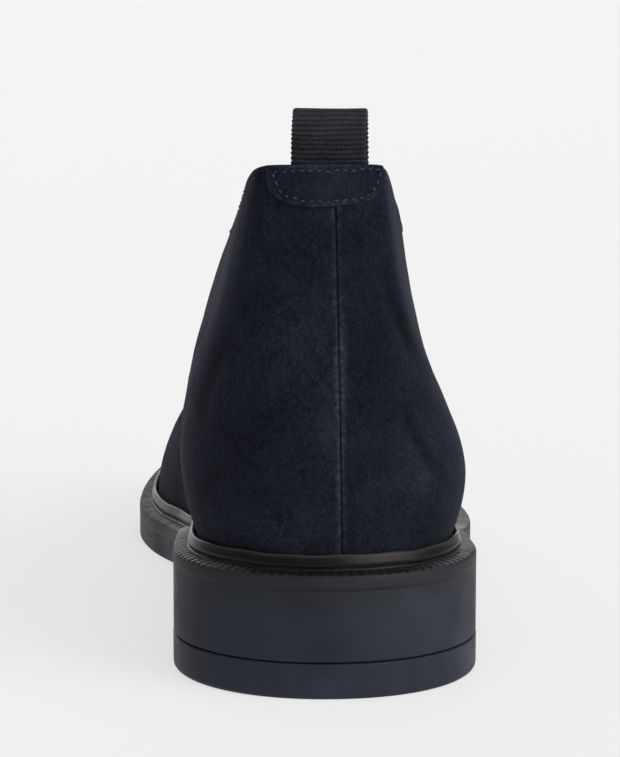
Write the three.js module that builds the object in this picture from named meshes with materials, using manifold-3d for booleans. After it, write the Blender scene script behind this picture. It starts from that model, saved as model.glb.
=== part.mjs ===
// Chukka boot for the right foot, size EU 42, standing empty on its sole. Millimetres, +Z up.
// +Y runs from the heel to the toe and +X to the outer (lateral) side. Inside this file a point's y is counted
// from the back of the heel, and x from the heel's centre line. The group at the end shifts everything so that
// the origin lies under the middle of the boot.
//
// Pieces: a rubber outsole moulded in one with its heel block, a top lift under the heel, a storm welt with its
// upright bead, an insole, a suede upper open at collar, throat and underneath, a tongue, a lace and a pull loop.

import * as THREE from "three";
import { mergeVertices } from "three/addons/utils/BufferGeometryUtils.js";
import Module from "manifold-3d";

const wasm = await Module();
wasm.setup();

// ---------- driving dimensions ----------
const SOLE_LENGTH = 300;
const HEEL_ROUND = 43; // length of the heel's rounded end
const HEEL_POWER = 2.1; // superellipse power of the heel end
const TOE_ROUND = 84; // length of the rounded toe end
const TOE_POWER = 2.25;
const OUTLINE_STEPS = 44; // stations along each side of the sole
const BREAST_Y = 78; // front face of the heel
const LIFT_HEIGHT = 9.2;
const BALL_FROM = 184; // the sole lies flat on the floor from here
const BALL_TO = 222; // to here
const GAP = 0.3; // room between touching pieces
const SOLE_EDGE_HEIGHT = 45; // taller than any sole edge, for the prisms that are cut to it
const WIDE = 80; // wider than half the sole

const WELT_BEAD_TOP = 8.0;
const UPPER_INSET = 6.3; // from the sole's edge to the upper, behind the welt's bead
const RIM_HEIGHT = 8.3; // where the upper leaves the bead
const UPPER_WALL = 2.0;
const RIB_STEPS = 10; // rows from the rim to the top line

const INSOLE_THICKNESS = 3;
const TONGUE_WALL = 2.0;
const TONGUE_STEPS = 6; // from the middle to each edge
const LACE_RADIUS = 1.4;
const EYELET_X = 15.5;
const EYELET_STATIONS = [0.466, 0.5, 0.534];
const LOOP_WIDTH = 19;
const LOOP_X = -0.8; // the loop's middle, a little to the inner side
const LOOP_WALL = 1.4;
const LOOP_RISE = 13.7; // above the collar
const LOOP_TUCK = 11; // below the collar, inside the boot

// The sole's outline: the bent centre line of the foot and the half widths on its two sides.
const outlineTable = [
  { y: -20, axis: 0, inner: 40, outer: 40 },
  { y: 43, axis: 0, inner: 40, outer: 40 },
  { y: 80, axis: 0, inner: 37.8, outer: 40 },
  { y: 118, axis: 0.5, inner: 35.5, outer: 42.5 },
  { y: 152, axis: 1.5, inner: 38, outer: 48.5 },
  { y: 176, axis: 2, inner: 42, outer: 52.3 },
  { y: 196, axis: 2, inner: 47.2, outer: 54 },
  { y: 216, axis: 1.5, inner: 49.8, outer: 53.6 },
  { y: 240, axis: 0, inner: 49, outer: 51.8 },
  { y: 270, axis: -2, inner: 47.2, outer: 49.5 },
  { y: 300, axis: -3.5, inner: 46, outer: 48.5 },
  { y: 320, axis: -4, inner: 46, outer: 48 },
];

// The sole's side view: the seat that upper and welt stand on, and the underside.
const seatTable = [
  { y: -10, z: 28.2 },
  { y: 0, z: 28 },
  { y: 40, z: 27.6 },
  { y: 75, z: 25.8 },
  { y: 105, z: 20.6 },
  { y: 135, z: 13.8 },
  { y: 165, z: 8.8 },
  { y: 195, z: 7 },
  { y: 220, z: 7.2 },
  { y: 250, z: 9.2 },
  { y: 280, z: 13.4 },
  { y: 300, z: 17.2 },
  { y: 310, z: 19.2 },
];
const undersideTable = [
  { y: BREAST_Y, z: 18.4 },
  { y: 100, z: 15.4 },
  { y: 125, z: 10 },
  { y: 150, z: 4.6 },
  { y: 170, z: 1.2 },
  { y: BALL_FROM, z: 0 },
  { y: BALL_TO, z: 0 },
  { y: 235, z: 0.6 },
  { y: 250, z: 2.1 },
  { y: 280, z: 6.3 },
  { y: 300, z: 10 },
  { y: 310, z: 12 },
];

const FRONT_CORNER = 0.45; // the station where the collar turns down into the facing
const THROAT_END = 0.575; // the station where the two facings meet

// The upper's top line: along the collar from its back (s 0) to the front corner (s 0.45), down the edge of the
// facing to the throat (s 0.575), then along the ridge of the vamp to the toe box (s 1).
const topLineTable = [
  { s: 0, inner: 0, outer: 0, y: 10.5, z: 133.6 },
  { s: 0.06, inner: 9.4, outer: 7, y: 10.8, z: 133.6 },
  { s: 0.12, inner: 16.8, outer: 12.4, y: 13.6, z: 132.6 },
  { s: 0.17, inner: 19.8, outer: 14.8, y: 21.4, z: 129 },
  { s: 0.22, inner: 21.2, outer: 17.2, y: 33, z: 123.4 },
  { s: 0.27, inner: 22.4, outer: 20, y: 48, z: 118 },
  { s: 0.32, inner: 23, outer: 21.8, y: 66, z: 114.6 },
  { s: 0.36, inner: 22.2, outer: 21.8, y: 82, z: 114 },
  { s: 0.4, inner: 18.8, outer: 18.6, y: 97, z: 116 },
  { s: 0.43, inner: 13.8, outer: 13.8, y: 108, z: 119 },
  { s: 0.45, inner: 9.4, outer: 9.4, y: 114.5, z: 121 },
  { s: 0.475, inner: 8.6, outer: 8.6, y: 124, z: 114.2 },
  { s: 0.5, inner: 8.5, outer: 8.5, y: 134, z: 107 },
  { s: 0.525, inner: 8.4, outer: 8.4, y: 144, z: 100.2 },
  { s: 0.55, inner: 7.4, outer: 7.4, y: 154, z: 93.8 },
  { s: 0.5625, inner: 4.9, outer: 4.9, y: 159.4, z: 90.9 },
  { s: THROAT_END, inner: 0, outer: 0, y: 162.3, z: 89.4 },
  { s: 0.62, inner: 0, outer: 0, y: 174, z: 83.6 },
  { s: 0.67, inner: 0, outer: 0, y: 190, z: 76.4 },
  { s: 0.72, inner: 0, outer: 0, y: 207, z: 69.8 },
  { s: 0.78, inner: 0, outer: 0, y: 224.5, z: 64 },
  { s: 0.84, inner: 0, outer: 0, y: 238, z: 60 },
  { s: 0.9, inner: 0, outer: 0, y: 247.5, z: 57.4 },
  { s: 0.95, inner: 0, outer: 0, y: 253, z: 55.9 },
  { s: 1, inner: 0, outer: 0, y: 256, z: 55 },
];

// How each rib leaves the rim (out and up) and arrives at the top line (reach towards the rim, and drop), on the
// inner side of the foot and on the outer. slope is how much of the ridge's own slope the arrival follows.
const innerRibTable = [
  { s: 0, out: 4, up: 30, reach: 3, drop: 40, slope: 0 },
  { s: 0.12, out: 8, up: 28, reach: 5, drop: 38, slope: 0 },
  { s: 0.24, out: 10.5, up: 27, reach: 9, drop: 38, slope: 0 },
  { s: 0.32, out: 10, up: 27, reach: 10.5, drop: 34, slope: 0 },
  { s: 0.4, out: 7, up: 28, reach: 12, drop: 24, slope: 0.3 },
  { s: 0.45, out: 4, up: 30, reach: 13, drop: 16, slope: 0.8 },
  { s: 0.5, out: 2, up: 32, reach: 16, drop: 10, slope: 1 },
  { s: 0.545, out: 0.5, up: 32, reach: 19, drop: 6, slope: 1 },
  { s: 0.6, out: -0.5, up: 29, reach: 22, drop: 2, slope: 1 },
  { s: 0.67, out: -1.5, up: 25, reach: 23, drop: 0, slope: 1 },
  { s: 0.78, out: -1.5, up: 20, reach: 24, drop: 0, slope: 1 },
  { s: 0.9, out: 0, up: 17, reach: 24, drop: 0, slope: 1 },
  { s: 1, out: 0, up: 15, reach: 24, drop: 0, slope: 1 },
];
const outerRibTable = [
  { s: 0, out: 4, up: 30, reach: 3, drop: 40 },
  { s: 0.12, out: 9, up: 28, reach: 4, drop: 50 },
  { s: 0.24, out: 11, up: 29, reach: 6, drop: 60 },
  { s: 0.32, out: 10, up: 26, reach: 7, drop: 58 },
  { s: 0.4, out: 7, up: 26, reach: 9, drop: 38 },
  { s: 0.45, out: 4, up: 29, reach: 11, drop: 22 },
  { s: 0.5, out: 2, up: 31, reach: 14, drop: 12 },
  { s: 0.545, out: 0.5, up: 30, reach: 18, drop: 6 },
  { s: 0.6, out: 0, up: 27, reach: 22, drop: 2 },
  { s: 0.67, out: 0, up: 24, reach: 24, drop: 0 },
  { s: 0.78, out: 0, up: 19, reach: 25, drop: 0 },
  { s: 0.9, out: 0, up: 16, reach: 24, drop: 0 },
  { s: 1, out: 0, up: 15, reach: 24, drop: 0 },
];

// ---------- curves through tables ----------

// A smooth curve through the rows of a table: cubic pieces whose slope at a row is that between its neighbours.
function curveThrough(table, key, column) {
  const at = table.map((row) => row[key]);
  const value = table.map((row) => row[column]);
  const last = at.length - 1;
  const slopeAt = (i) => {
    const a = Math.max(0, i - 1);
    const b = Math.min(last, i + 1);
    return (value[b] - value[a]) / (at[b] - at[a]);
  };
  return (x) => {
    const p = Math.min(Math.max(x, at[0]), at[last]);
    let i = 0;
    while (i < last - 1 && at[i + 1] < p) i += 1;
    const width = at[i + 1] - at[i];
    const t = (p - at[i]) / width;
    const t2 = t * t;
    const t3 = t2 * t;
    return (
      value[i] * (2 * t3 - 3 * t2 + 1) +
      slopeAt(i) * width * (t3 - 2 * t2 + t) +
      value[i + 1] * (3 * t2 - 2 * t3) +
      slopeAt(i + 1) * width * (t3 - t2)
    );
  };
}

// Rows past each end that mirror the ones inside, so that left and right join smoothly at heel and toe.
function mirroredEnds(table, oddColumns) {
  const mirror = (row, centre) => {
    const copy = { ...row, s: 2 * centre - row.s };
    oddColumns.forEach((c) => (copy[c] = -row[c]));
    return copy;
  };
  return [mirror(table[1], 0), ...table, mirror(table[table.length - 2], 1)];
}

const footAxis = curveThrough(outlineTable, "y", "axis");
const innerHalf = curveThrough(outlineTable, "y", "inner");
const outerHalf = curveThrough(outlineTable, "y", "outer");
const seatHeight = curveThrough(seatTable, "y", "z");
const undersideHeight = curveThrough(undersideTable, "y", "z");

const topRows = mirroredEnds(topLineTable, ["inner", "outer"]);
const topInner = curveThrough(topRows, "s", "inner");
const topOuter = curveThrough(topRows, "s", "outer");
const topY = curveThrough(topRows, "s", "y");
const topZ = curveThrough(topRows, "s", "z");

function ribCurves(table) {
  const rows = mirroredEnds(table, []);
  const columns = Object.keys(table[0]).filter((column) => column !== "s");
  return Object.fromEntries(columns.map((column) => [column, curveThrough(rows, "s", column)]));
}
const innerRib = ribCurves(innerRibTable);
const outerRib = ribCurves(outerRibTable);

// ---------- the sole's outline ----------

// side is +1 on the outer side and -1 on the inner; s runs from the back of the heel (0) to the tip of the toe (1).
function outlinePoint(side, s) {
  const y = (SOLE_LENGTH * (1 - Math.cos(Math.PI * s))) / 2;
  const closure = (depth, power) => (depth > 0 ? Math.max(0, 1 - depth ** power) ** (1 / power) : 1);
  const heel = closure((HEEL_ROUND - y) / HEEL_ROUND, HEEL_POWER);
  const toe = closure((y - SOLE_LENGTH + TOE_ROUND) / TOE_ROUND, TOE_POWER);
  const half = side > 0 ? outerHalf(y) : innerHalf(y);
  return new THREE.Vector2(footAxis(y) + side * half * heel * toe, y);
}

// The same at any station round the whole sole, from 0 at the heel over the outer side to 1 at the toe and 2 again
// at the heel, moved inwards by inset.
function roundPoint(station, inset = 0) {
  const at = (q) => {
    const turn = ((q % 2) + 2) % 2;
    return turn <= 1 ? outlinePoint(1, turn) : outlinePoint(-1, 2 - turn);
  };
  const step = 0.004;
  const along = at(station + step).sub(at(station - step)).normalize();
  return at(station).add(new THREE.Vector2(-along.y, along.x).multiplyScalar(inset));
}

function outwardAt(station) {
  const direction = roundPoint(station).sub(roundPoint(station, 1));
  return new THREE.Vector3(direction.x, direction.y, 0).normalize();
}

// ---------- solids ----------

function solidFrom(geometry) {
  const bare = geometry.index ? geometry.clone() : geometry;
  bare.deleteAttribute("normal");
  bare.deleteAttribute("uv");
  const merged = mergeVertices(bare, 1e-4);
  return new wasm.Manifold(
    new wasm.Mesh({
      numProp: 3,
      vertProperties: merged.attributes.position.array,
      triVerts: new Uint32Array(merged.index.array),
    }),
  );
}

function geometryFrom(solid) {
  const mesh = solid.getMesh();
  const geometry = new THREE.BufferGeometry();
  geometry.setAttribute("position", new THREE.BufferAttribute(new Float32Array(mesh.vertProperties), 3));
  geometry.setIndex(new THREE.BufferAttribute(new Uint32Array(mesh.triVerts), 1));
  geometry.computeVertexNormals();
  return geometry;
}

// An upright prism on the sole's outline, moved inwards by inset.
function outlinePrism(inset, from, to) {
  const points = [];
  for (let i = 0; i < 2 * OUTLINE_STEPS; i += 1) points.push(roundPoint(i / OUTLINE_STEPS, inset));
  const prism = new THREE.ExtrudeGeometry(new THREE.Shape(points), { depth: to - from, bevelEnabled: false });
  return solidFrom(prism.translate(0, 0, from));
}

// A slab as wide as the boot whose side view is the polygon of [y, z] points.
function sideSlab(profile) {
  const shape = new THREE.Shape(profile.map(([y, z]) => new THREE.Vector2(y, z)));
  const slab = new THREE.ExtrudeGeometry(shape, { depth: 2 * WIDE, bevelEnabled: false });
  slab.translate(0, 0, -WIDE);
  slab.applyMatrix4(
    new THREE.Matrix4().makeBasis(
      new THREE.Vector3(0, 1, 0),
      new THREE.Vector3(0, 0, 1),
      new THREE.Vector3(1, 0, 0),
    ),
  );
  return solidFrom(slab);
}

function sampled(from, to, count, height) {
  return Array.from({ length: count + 1 }, (_, i) => {
    const y = from + ((to - from) * i) / count;
    return [y, height(y)];
  });
}

// A layer that follows the seat, from one height above it to another.
function seatLayer(low, high) {
  const end = SOLE_LENGTH + 6;
  const bottom = sampled(-6, end, 26, (y) => seatHeight(y) + low);
  const top = sampled(-6, end, 26, (y) => seatHeight(y) + high).reverse();
  return sideSlab([...bottom, ...top]);
}

// A thin wall: the surface given by rows of points, and a copy of it moved inwards by thickness, joined round
// every open edge. Points in one place are merged, so rows may meet.
function wallFrom(grids, thickness) {
  const corners = [];
  grids.forEach((rows) => {
    for (let i = 0; i + 1 < rows.length; i += 1) {
      for (let j = 0; j + 1 < rows[i].length; j += 1) {
        const [a, b, c, d] = [rows[i][j], rows[i + 1][j], rows[i + 1][j + 1], rows[i][j + 1]];
        corners.push(a, b, c, a, c, d);
      }
    }
  });
  const loose = new THREE.BufferGeometry().setFromPoints(corners);
  const skin = mergeVertices(loose, 1e-3);
  const at = skin.attributes.position;
  const count = at.count;
  const faces = [];
  for (let f = 0; f < skin.index.count; f += 3) {
    const [a, b, c] = [0, 1, 2].map((k) => skin.index.getX(f + k));
    if (a !== b && b !== c && c !== a) faces.push([a, b, c]);
  }
  skin.setIndex(faces.flat());
  skin.computeVertexNormals();
  const normal = skin.attributes.normal;
  const points = new Float32Array(6 * count);
  for (let i = 0; i < count; i += 1) {
    [at.getX(i), at.getY(i), at.getZ(i)].forEach((v, k) => (points[3 * i + k] = v));
    [normal.getX(i), normal.getY(i), normal.getZ(i)].forEach((n, k) => {
      points[3 * (count + i) + k] = points[3 * i + k] - thickness * n;
    });
  }
  const edges = new Set(faces.flatMap(([a, b, c]) => [`${a},${b}`, `${b},${c}`, `${c},${a}`]));
  const index = [];
  faces.forEach(([a, b, c]) => {
    index.push(a, b, c, count + a, count + c, count + b);
    [[a, b], [b, c], [c, a]].forEach(([p, q]) => {
      if (!edges.has(`${q},${p}`)) index.push(q, p, count + p, q, count + p, count + q);
    });
  });
  const wall = new THREE.BufferGeometry();
  wall.setAttribute("position", new THREE.BufferAttribute(points, 3));
  wall.setIndex(index);
  return solidFrom(wall);
}

// ---------- outsole, heel block and top lift ----------

// Cross grooves of the tread, kept inside an unbroken rim.
function treadGrooves(firstY, lastY, low, high) {
  const rim = 9;
  const pitch = 13;
  const width = 4;
  const depth = 2;
  const room = outlinePrism(rim, -5, SOLE_EDGE_HEIGHT);
  const cuts = [];
  for (let y = firstY; y + width <= lastY; y += pitch) {
    const slab = sideSlab([
      [y, low(y) - depth],
      [y + width, low(y + width) - depth],
      [y + width, high(y + width) + depth],
      [y, high(y) + depth],
    ]);
    cuts.push(slab.intersect(room));
  }
  return cuts.reduce((all, cut) => all.add(cut));
}

function outsoleSolid() {
  const front = SOLE_LENGTH + 6;
  const top = sampled(-6, front, 26, seatHeight).reverse();
  const underside = [
    ...sampled(BREAST_Y, BALL_FROM, 8, undersideHeight),
    ...sampled(BALL_TO, front, 8, undersideHeight),
  ];
  const heelBase = LIFT_HEIGHT + GAP;
  const profile = [[-6, heelBase], [BREAST_Y, heelBase], ...underside, ...top];
  const body = outlinePrism(0, -5, SOLE_EDGE_HEIGHT).intersect(sideSlab(profile));
  return body.subtract(treadGrooves(160, 284, undersideHeight, undersideHeight));
}

function topLiftSolid() {
  const block = sideSlab([[-6, 0], [BREAST_Y - GAP, 0], [BREAST_Y - GAP, LIFT_HEIGHT], [-6, LIFT_HEIGHT]]);
  const level = () => 0;
  return outlinePrism(0, -5, SOLE_EDGE_HEIGHT).intersect(block).subtract(treadGrooves(17, 68, level, level));
}

// ---------- welt ----------

// The welt's section: inset from the sole's edge, and height above the seat. A sloping flange, a notch, then the
// bead that stands up against the upper.
const weltSection = [
  [0, GAP],
  [6, GAP],
  [6, 7.2],
  [5.5, WELT_BEAD_TOP],
  [4.9, WELT_BEAD_TOP],
  [4.4, 7.2],
  [4.4, 4.5],
  [4, 4.8],
  [0.5, 4.2],
  [0, 3.7],
];

function weltSolid() {
  const rings = [];
  for (let i = 0; i < 2 * OUTLINE_STEPS; i += 1) {
    const station = i / OUTLINE_STEPS;
    rings.push(
      weltSection.map(([inset, height]) => {
        const p = roundPoint(station, inset);
        return new THREE.Vector3(p.x, p.y, seatHeight(roundPoint(station).y) + height);
      }),
    );
  }
  const count = weltSection.length;
  const points = rings.flat();
  const index = [];
  rings.forEach((_, i) => {
    const next = (i + 1) % rings.length;
    for (let j = 0; j < count; j += 1) {
      const k = (j + 1) % count;
      const [a, b, c, d] = [i * count + j, next * count + j, next * count + k, i * count + k];
      index.push(a, c, b, a, d, c);
    }
  });
  return solidFrom(new THREE.BufferGeometry().setFromPoints(points).setIndex(index));
}

// ---------- insole ----------

function insoleSolid() {
  const inset = UPPER_INSET + UPPER_WALL + GAP;
  return outlinePrism(inset, -5, SOLE_EDGE_HEIGHT).intersect(seatLayer(GAP, GAP + INSOLE_THICKNESS));
}

// ---------- upper ----------

// The slope of the facing and of the ridge in the side view, up per forward. It starts at the front corner.
function topSlope(s) {
  const step = 0.004;
  const q = Math.min(Math.max(s, FRONT_CORNER + 0.01), 1 - step);
  return (topZ(q + step) - topZ(q - step)) / (topY(q + step) - topY(q - step));
}

function topPoint(side, s) {
  const reach = s < THROAT_END ? Math.max(0, side > 0 ? topOuter(s) : topInner(s)) : 0;
  return new THREE.Vector3(side * reach, topY(s), topZ(s));
}

// The rib at station s is a cubic curve from the rim, just behind the bead, up to the top line.
function ribCurve(side, s) {
  const station = side > 0 ? s : 2 - s;
  const foot = roundPoint(station, UPPER_INSET);
  const rim = new THREE.Vector3(foot.x, foot.y, seatHeight(foot.y) + RIM_HEIGHT);
  const top = topPoint(side, s);
  const rib = side > 0 ? outerRib : innerRib;
  const towards = new THREE.Vector3(rim.x - top.x, rim.y - top.y, 0).normalize();
  const first = outwardAt(station).multiplyScalar(rib.out(s));
  first.z += rib.up(s);
  const last = towards.clone().multiplyScalar(rib.reach(s));
  last.z += last.y * topSlope(s) * innerRib.slope(s) - rib.drop(s);
  return new THREE.CubicBezierCurve3(rim, rim.clone().add(first), top.clone().add(last), top);
}

// A column of the upper: its foot on the seat, then the rib.
function upperColumn(side, s) {
  const rib = ribCurve(side, s).getPoints(RIB_STEPS);
  const foot = rib[0].clone();
  foot.z = seatHeight(foot.y) + GAP;
  return [foot, ...rib];
}

// Stations of the upper's columns, closest where the facings turn into the throat.
function upperStations() {
  const stretches = [
    { from: 0, to: 0.44, steps: 21 },
    { from: 0.44, to: 0.6, steps: 16 },
    { from: 0.6, to: 1, steps: 18 },
  ];
  const stations = stretches.flatMap(({ from, to, steps }) =>
    Array.from({ length: steps }, (_, i) => from + ((to - from) * i) / steps),
  );
  return [...stations, 1];
}

function upperSolid() {
  const columns = (side) => upperStations().map((s) => upperColumn(side, s));
  return wallFrom([columns(1), columns(-1).reverse()], UPPER_WALL);
}

// ---------- tongue ----------

// How much the tongue crowns up between the facings.
const CROWN = 1.2;

// The closed instep at station s and distance x from the middle: the upper's own surface, and between the two
// facings a shallow crown.
function instepPoint(s, x) {
  const side = x < 0 ? -1 : 1;
  const edge = topPoint(side, s);
  const reach = Math.abs(x);
  if (reach < Math.abs(edge.x)) {
    const crown = CROWN * (1 - (reach / Math.abs(edge.x)) ** 2);
    return new THREE.Vector3(x, edge.y, edge.z + crown);
  }
  const rib = ribCurve(side, s);
  let low = 0.3;
  let high = 1;
  for (let i = 0; i < 24; i += 1) {
    const middle = (low + high) / 2;
    if (Math.abs(rib.getPoint(middle).x) > reach) low = middle;
    else high = middle;
  }
  return rib.getPoint(high);
}

// A point above (or, for a negative height, below) the closed instep.
function instepOffset(s, x, height) {
  const ds = 0.003;
  const dx = 1.5;
  const along = instepPoint(s + ds, x).sub(instepPoint(s - ds, x));
  const across = instepPoint(s, x + dx).sub(instepPoint(s, x - dx));
  const normal = new THREE.Vector3().crossVectors(across, along).normalize();
  return instepPoint(s, x).addScaledVector(normal, height);
}

// Rows down the tongue: the station it lies under, the half width there, how far the row is lifted out of the boot
// beyond that station (the free top end), and how much deeper it lies than the facings' inner face.
const tongueTable = [
  { s: 0.462, half: 4.5, lift: 8, sink: 0.8 },
  { s: 0.462, half: 7.5, lift: 7, sink: 0.8 },
  { s: 0.462, half: 9.5, lift: 4.5, sink: 0.8 },
  { s: 0.462, half: 12, lift: 1.5, sink: 0.8 },
  { s: 0.475, half: 16.5, lift: 0, sink: 0.6 },
  { s: 0.49, half: 19.5, lift: 0, sink: 0.2 },
  { s: 0.51, half: 20, lift: 0, sink: 0.2 },
  { s: 0.53, half: 20, lift: 0, sink: 0.4 },
  { s: 0.55, half: 19.5, lift: 0, sink: 1 },
  { s: 0.57, half: 18.5, lift: 0, sink: 1.4 },
  { s: 0.59, half: 17, lift: 0, sink: 1.4 },
  { s: 0.61, half: 14, lift: 0, sink: 1.2 },
];

function tongueSolid() {
  const depth = UPPER_WALL + 2 * GAP;
  const rise = new THREE.Vector3(0, -0.62, 0.78);
  const rows = tongueTable.map(({ s, half, lift, sink }) =>
    Array.from({ length: 2 * TONGUE_STEPS + 1 }, (_, i) => {
      const x = half * (1 - i / TONGUE_STEPS);
      return instepOffset(s, x, -depth - sink).addScaledVector(rise, lift);
    }),
  );
  return wallFrom([rows], TONGUE_WALL);
}

// ---------- lace ----------

// A round cord through points on the instep, each given by its station, its x and how high the cord's middle
// stands above the surface.
function cordAlong(marks) {
  const path = new THREE.CatmullRomCurve3(marks.map(([s, x, height]) => instepOffset(s, x, height)));
  const sides = 8;
  const section = new THREE.Shape(
    Array.from({ length: sides }, (_, i) => {
      const angle = (2 * Math.PI * i) / sides;
      return new THREE.Vector2(LACE_RADIUS * Math.cos(angle), LACE_RADIUS * Math.sin(angle));
    }),
  );
  return solidFrom(new THREE.ExtrudeGeometry(section, { steps: 12, extrudePath: path, bevelEnabled: false }));
}

// A bar over the lowest pair of eyelets, then two crossings up to the top pair.
function laceSolid() {
  const rest = LACE_RADIUS + 1.5 * GAP;
  const top = rest + 1.2;
  const [upper, middle, lower] = EYELET_STATIONS;
  const span = (from, to, side) => [
    [from, -side * EYELET_X, rest],
    [from + (to - from) * 0.25, -side * EYELET_X * 0.5, top],
    [(from + to) / 2, 0, top],
    [from + (to - from) * 0.75, side * EYELET_X * 0.5, top],
    [to, side * EYELET_X, rest],
  ];
  const runs = [
    span(lower, lower, 1),
    span(lower, middle, 1),
    span(lower, middle, -1),
    span(middle, upper, 1),
    span(middle, upper, -1),
  ];
  return runs.map(cordAlong).reduce((all, run) => all.add(run));
}

// ---------- pull loop ----------

// The side view of the folded webbing, up its back leg and down its front leg.
const loopPath = [
  [14.8, -LOOP_TUCK],
  [14.4, -3],
  [13.8, 3],
  [12.4, LOOP_RISE * 0.55],
  [12.7, LOOP_RISE * 0.85],
  [15, LOOP_RISE],
  [17.6, LOOP_RISE * 0.85],
  [18.2, LOOP_RISE * 0.55],
  [17.2, 3],
  [17, -3],
  [17.4, -LOOP_TUCK],
];

function pullLoopSolid() {
  const collar = topZ(0);
  const bend = 0.016; // the webbing follows the collar's curve across its width
  const across = [1, 0.5, 0, -0.5, -1];
  const rows = loopPath.map(([y, rise]) =>
    across.map((q) => {
      const x = (q * LOOP_WIDTH) / 2;
      return new THREE.Vector3(LOOP_X + x, y + bend * x * x, collar + rise);
    }),
  );
  return wallFrom([rows], LOOP_WALL);
}

// ---------- the boot ----------

const suede = { color: 0x1d2233, roughness: 0.95, metalness: 0 };
const rubber = { color: 0x2b2e36, roughness: 0.5, metalness: 0 };
const brownRubber = { color: 0x1d1917, roughness: 0.45, metalness: 0 };
const cork = { color: 0x6f5c47, roughness: 0.85, metalness: 0 };
const webbing = { color: 0x1b1d20, roughness: 0.9, metalness: 0 };

const pieces = [
  { name: "outsole", solid: outsoleSolid(), look: rubber },
  { name: "top_lift", solid: topLiftSolid(), look: rubber },
  { name: "welt", solid: weltSolid(), look: brownRubber },
  { name: "insole", solid: insoleSolid(), look: cork },
  { name: "upper", solid: upperSolid(), look: suede },
  { name: "tongue", solid: tongueSolid(), look: suede },
  { name: "lace", solid: laceSolid(), look: webbing },
  { name: "pull_loop", solid: pullLoopSolid(), look: webbing },
];

const group = new THREE.Group();
group.name = "chukka_boot_right";

// The middle of the sole's whole width, measured from the heel's centre line.
const widths = Array.from({ length: 2 * OUTLINE_STEPS }, (_, i) => roundPoint(i / OUTLINE_STEPS).x);
const middleX = (Math.min(...widths) + Math.max(...widths)) / 2;

pieces.forEach(({ name, solid, look }) => {
  const mesh = new THREE.Mesh(geometryFrom(solid), new THREE.MeshStandardMaterial({ ...look, name }));
  mesh.name = name;
  mesh.position.set(-middleX, -SOLE_LENGTH / 2, 0);
  group.add(mesh);
});

export default group;
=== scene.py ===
import math

import bmesh
import bpy
import numpy as np
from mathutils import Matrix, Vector


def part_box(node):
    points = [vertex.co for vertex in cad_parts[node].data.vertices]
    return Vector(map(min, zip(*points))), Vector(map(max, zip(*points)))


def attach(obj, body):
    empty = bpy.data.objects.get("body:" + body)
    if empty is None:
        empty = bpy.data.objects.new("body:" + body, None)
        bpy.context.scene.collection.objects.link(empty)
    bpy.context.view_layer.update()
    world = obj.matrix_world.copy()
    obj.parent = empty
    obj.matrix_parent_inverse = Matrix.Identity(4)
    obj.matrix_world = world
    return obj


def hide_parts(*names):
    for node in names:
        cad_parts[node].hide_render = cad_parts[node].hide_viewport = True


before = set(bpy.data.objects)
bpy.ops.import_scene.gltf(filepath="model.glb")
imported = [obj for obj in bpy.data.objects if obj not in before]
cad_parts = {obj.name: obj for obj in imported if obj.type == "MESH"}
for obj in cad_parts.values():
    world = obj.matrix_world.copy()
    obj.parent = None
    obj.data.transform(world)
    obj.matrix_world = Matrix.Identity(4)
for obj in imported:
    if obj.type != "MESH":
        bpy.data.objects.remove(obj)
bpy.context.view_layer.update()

# ------------------------------------------------------------------------------
# The place where the boot stands: a wide pale floor, soft light all round, and the eye low behind the heel.
# Lengths in this file are millimetres from the back of the heel (y) and from the heel's centre line (x),
# until a mesh is made.

EYE = (-48.4, -700.0, 178.0)
AIM = (-4.0, 40.0, 76.0)
# The picture's height and the eye's focal length, in the same unit.
PICTURE_HEIGHT, FOCAL_LENGTH = 757, 2870
SENSOR = 36.0
NEAR, FAR = 0.01, 100
SOLE_LENGTH = 300.0
MM = 0.001

lift_low, lift_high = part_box("top_lift")
MIDDLE_X = -(lift_low[0] + lift_high[0]) / 2 / MM


def to_frame(points):
    """Millimetres from the heel become metres in the boot's own frame."""
    return (np.asarray(points, float) - (MIDDLE_X, SOLE_LENGTH / 2, 0)) * MM


camera = bpy.data.objects.new("eye", bpy.data.cameras.new("eye"))
bpy.context.scene.collection.objects.link(camera)
bpy.context.scene.camera = camera
camera.location = to_frame(EYE)
camera.rotation_mode = "QUATERNION"
camera.rotation_quaternion = Vector(to_frame(AIM) - to_frame(EYE)).to_track_quat("-Z", "Y")
camera.data.sensor_width = SENSOR
camera.data.lens = FOCAL_LENGTH / PICTURE_HEIGHT * SENSOR
camera.data.clip_start = NEAR
camera.data.clip_end = FAR

BLACK, WHITE = (0, 0, 0), (1, 1, 1)


def grey(value):
    """The grey of this value."""
    return (value, value, value)


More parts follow.
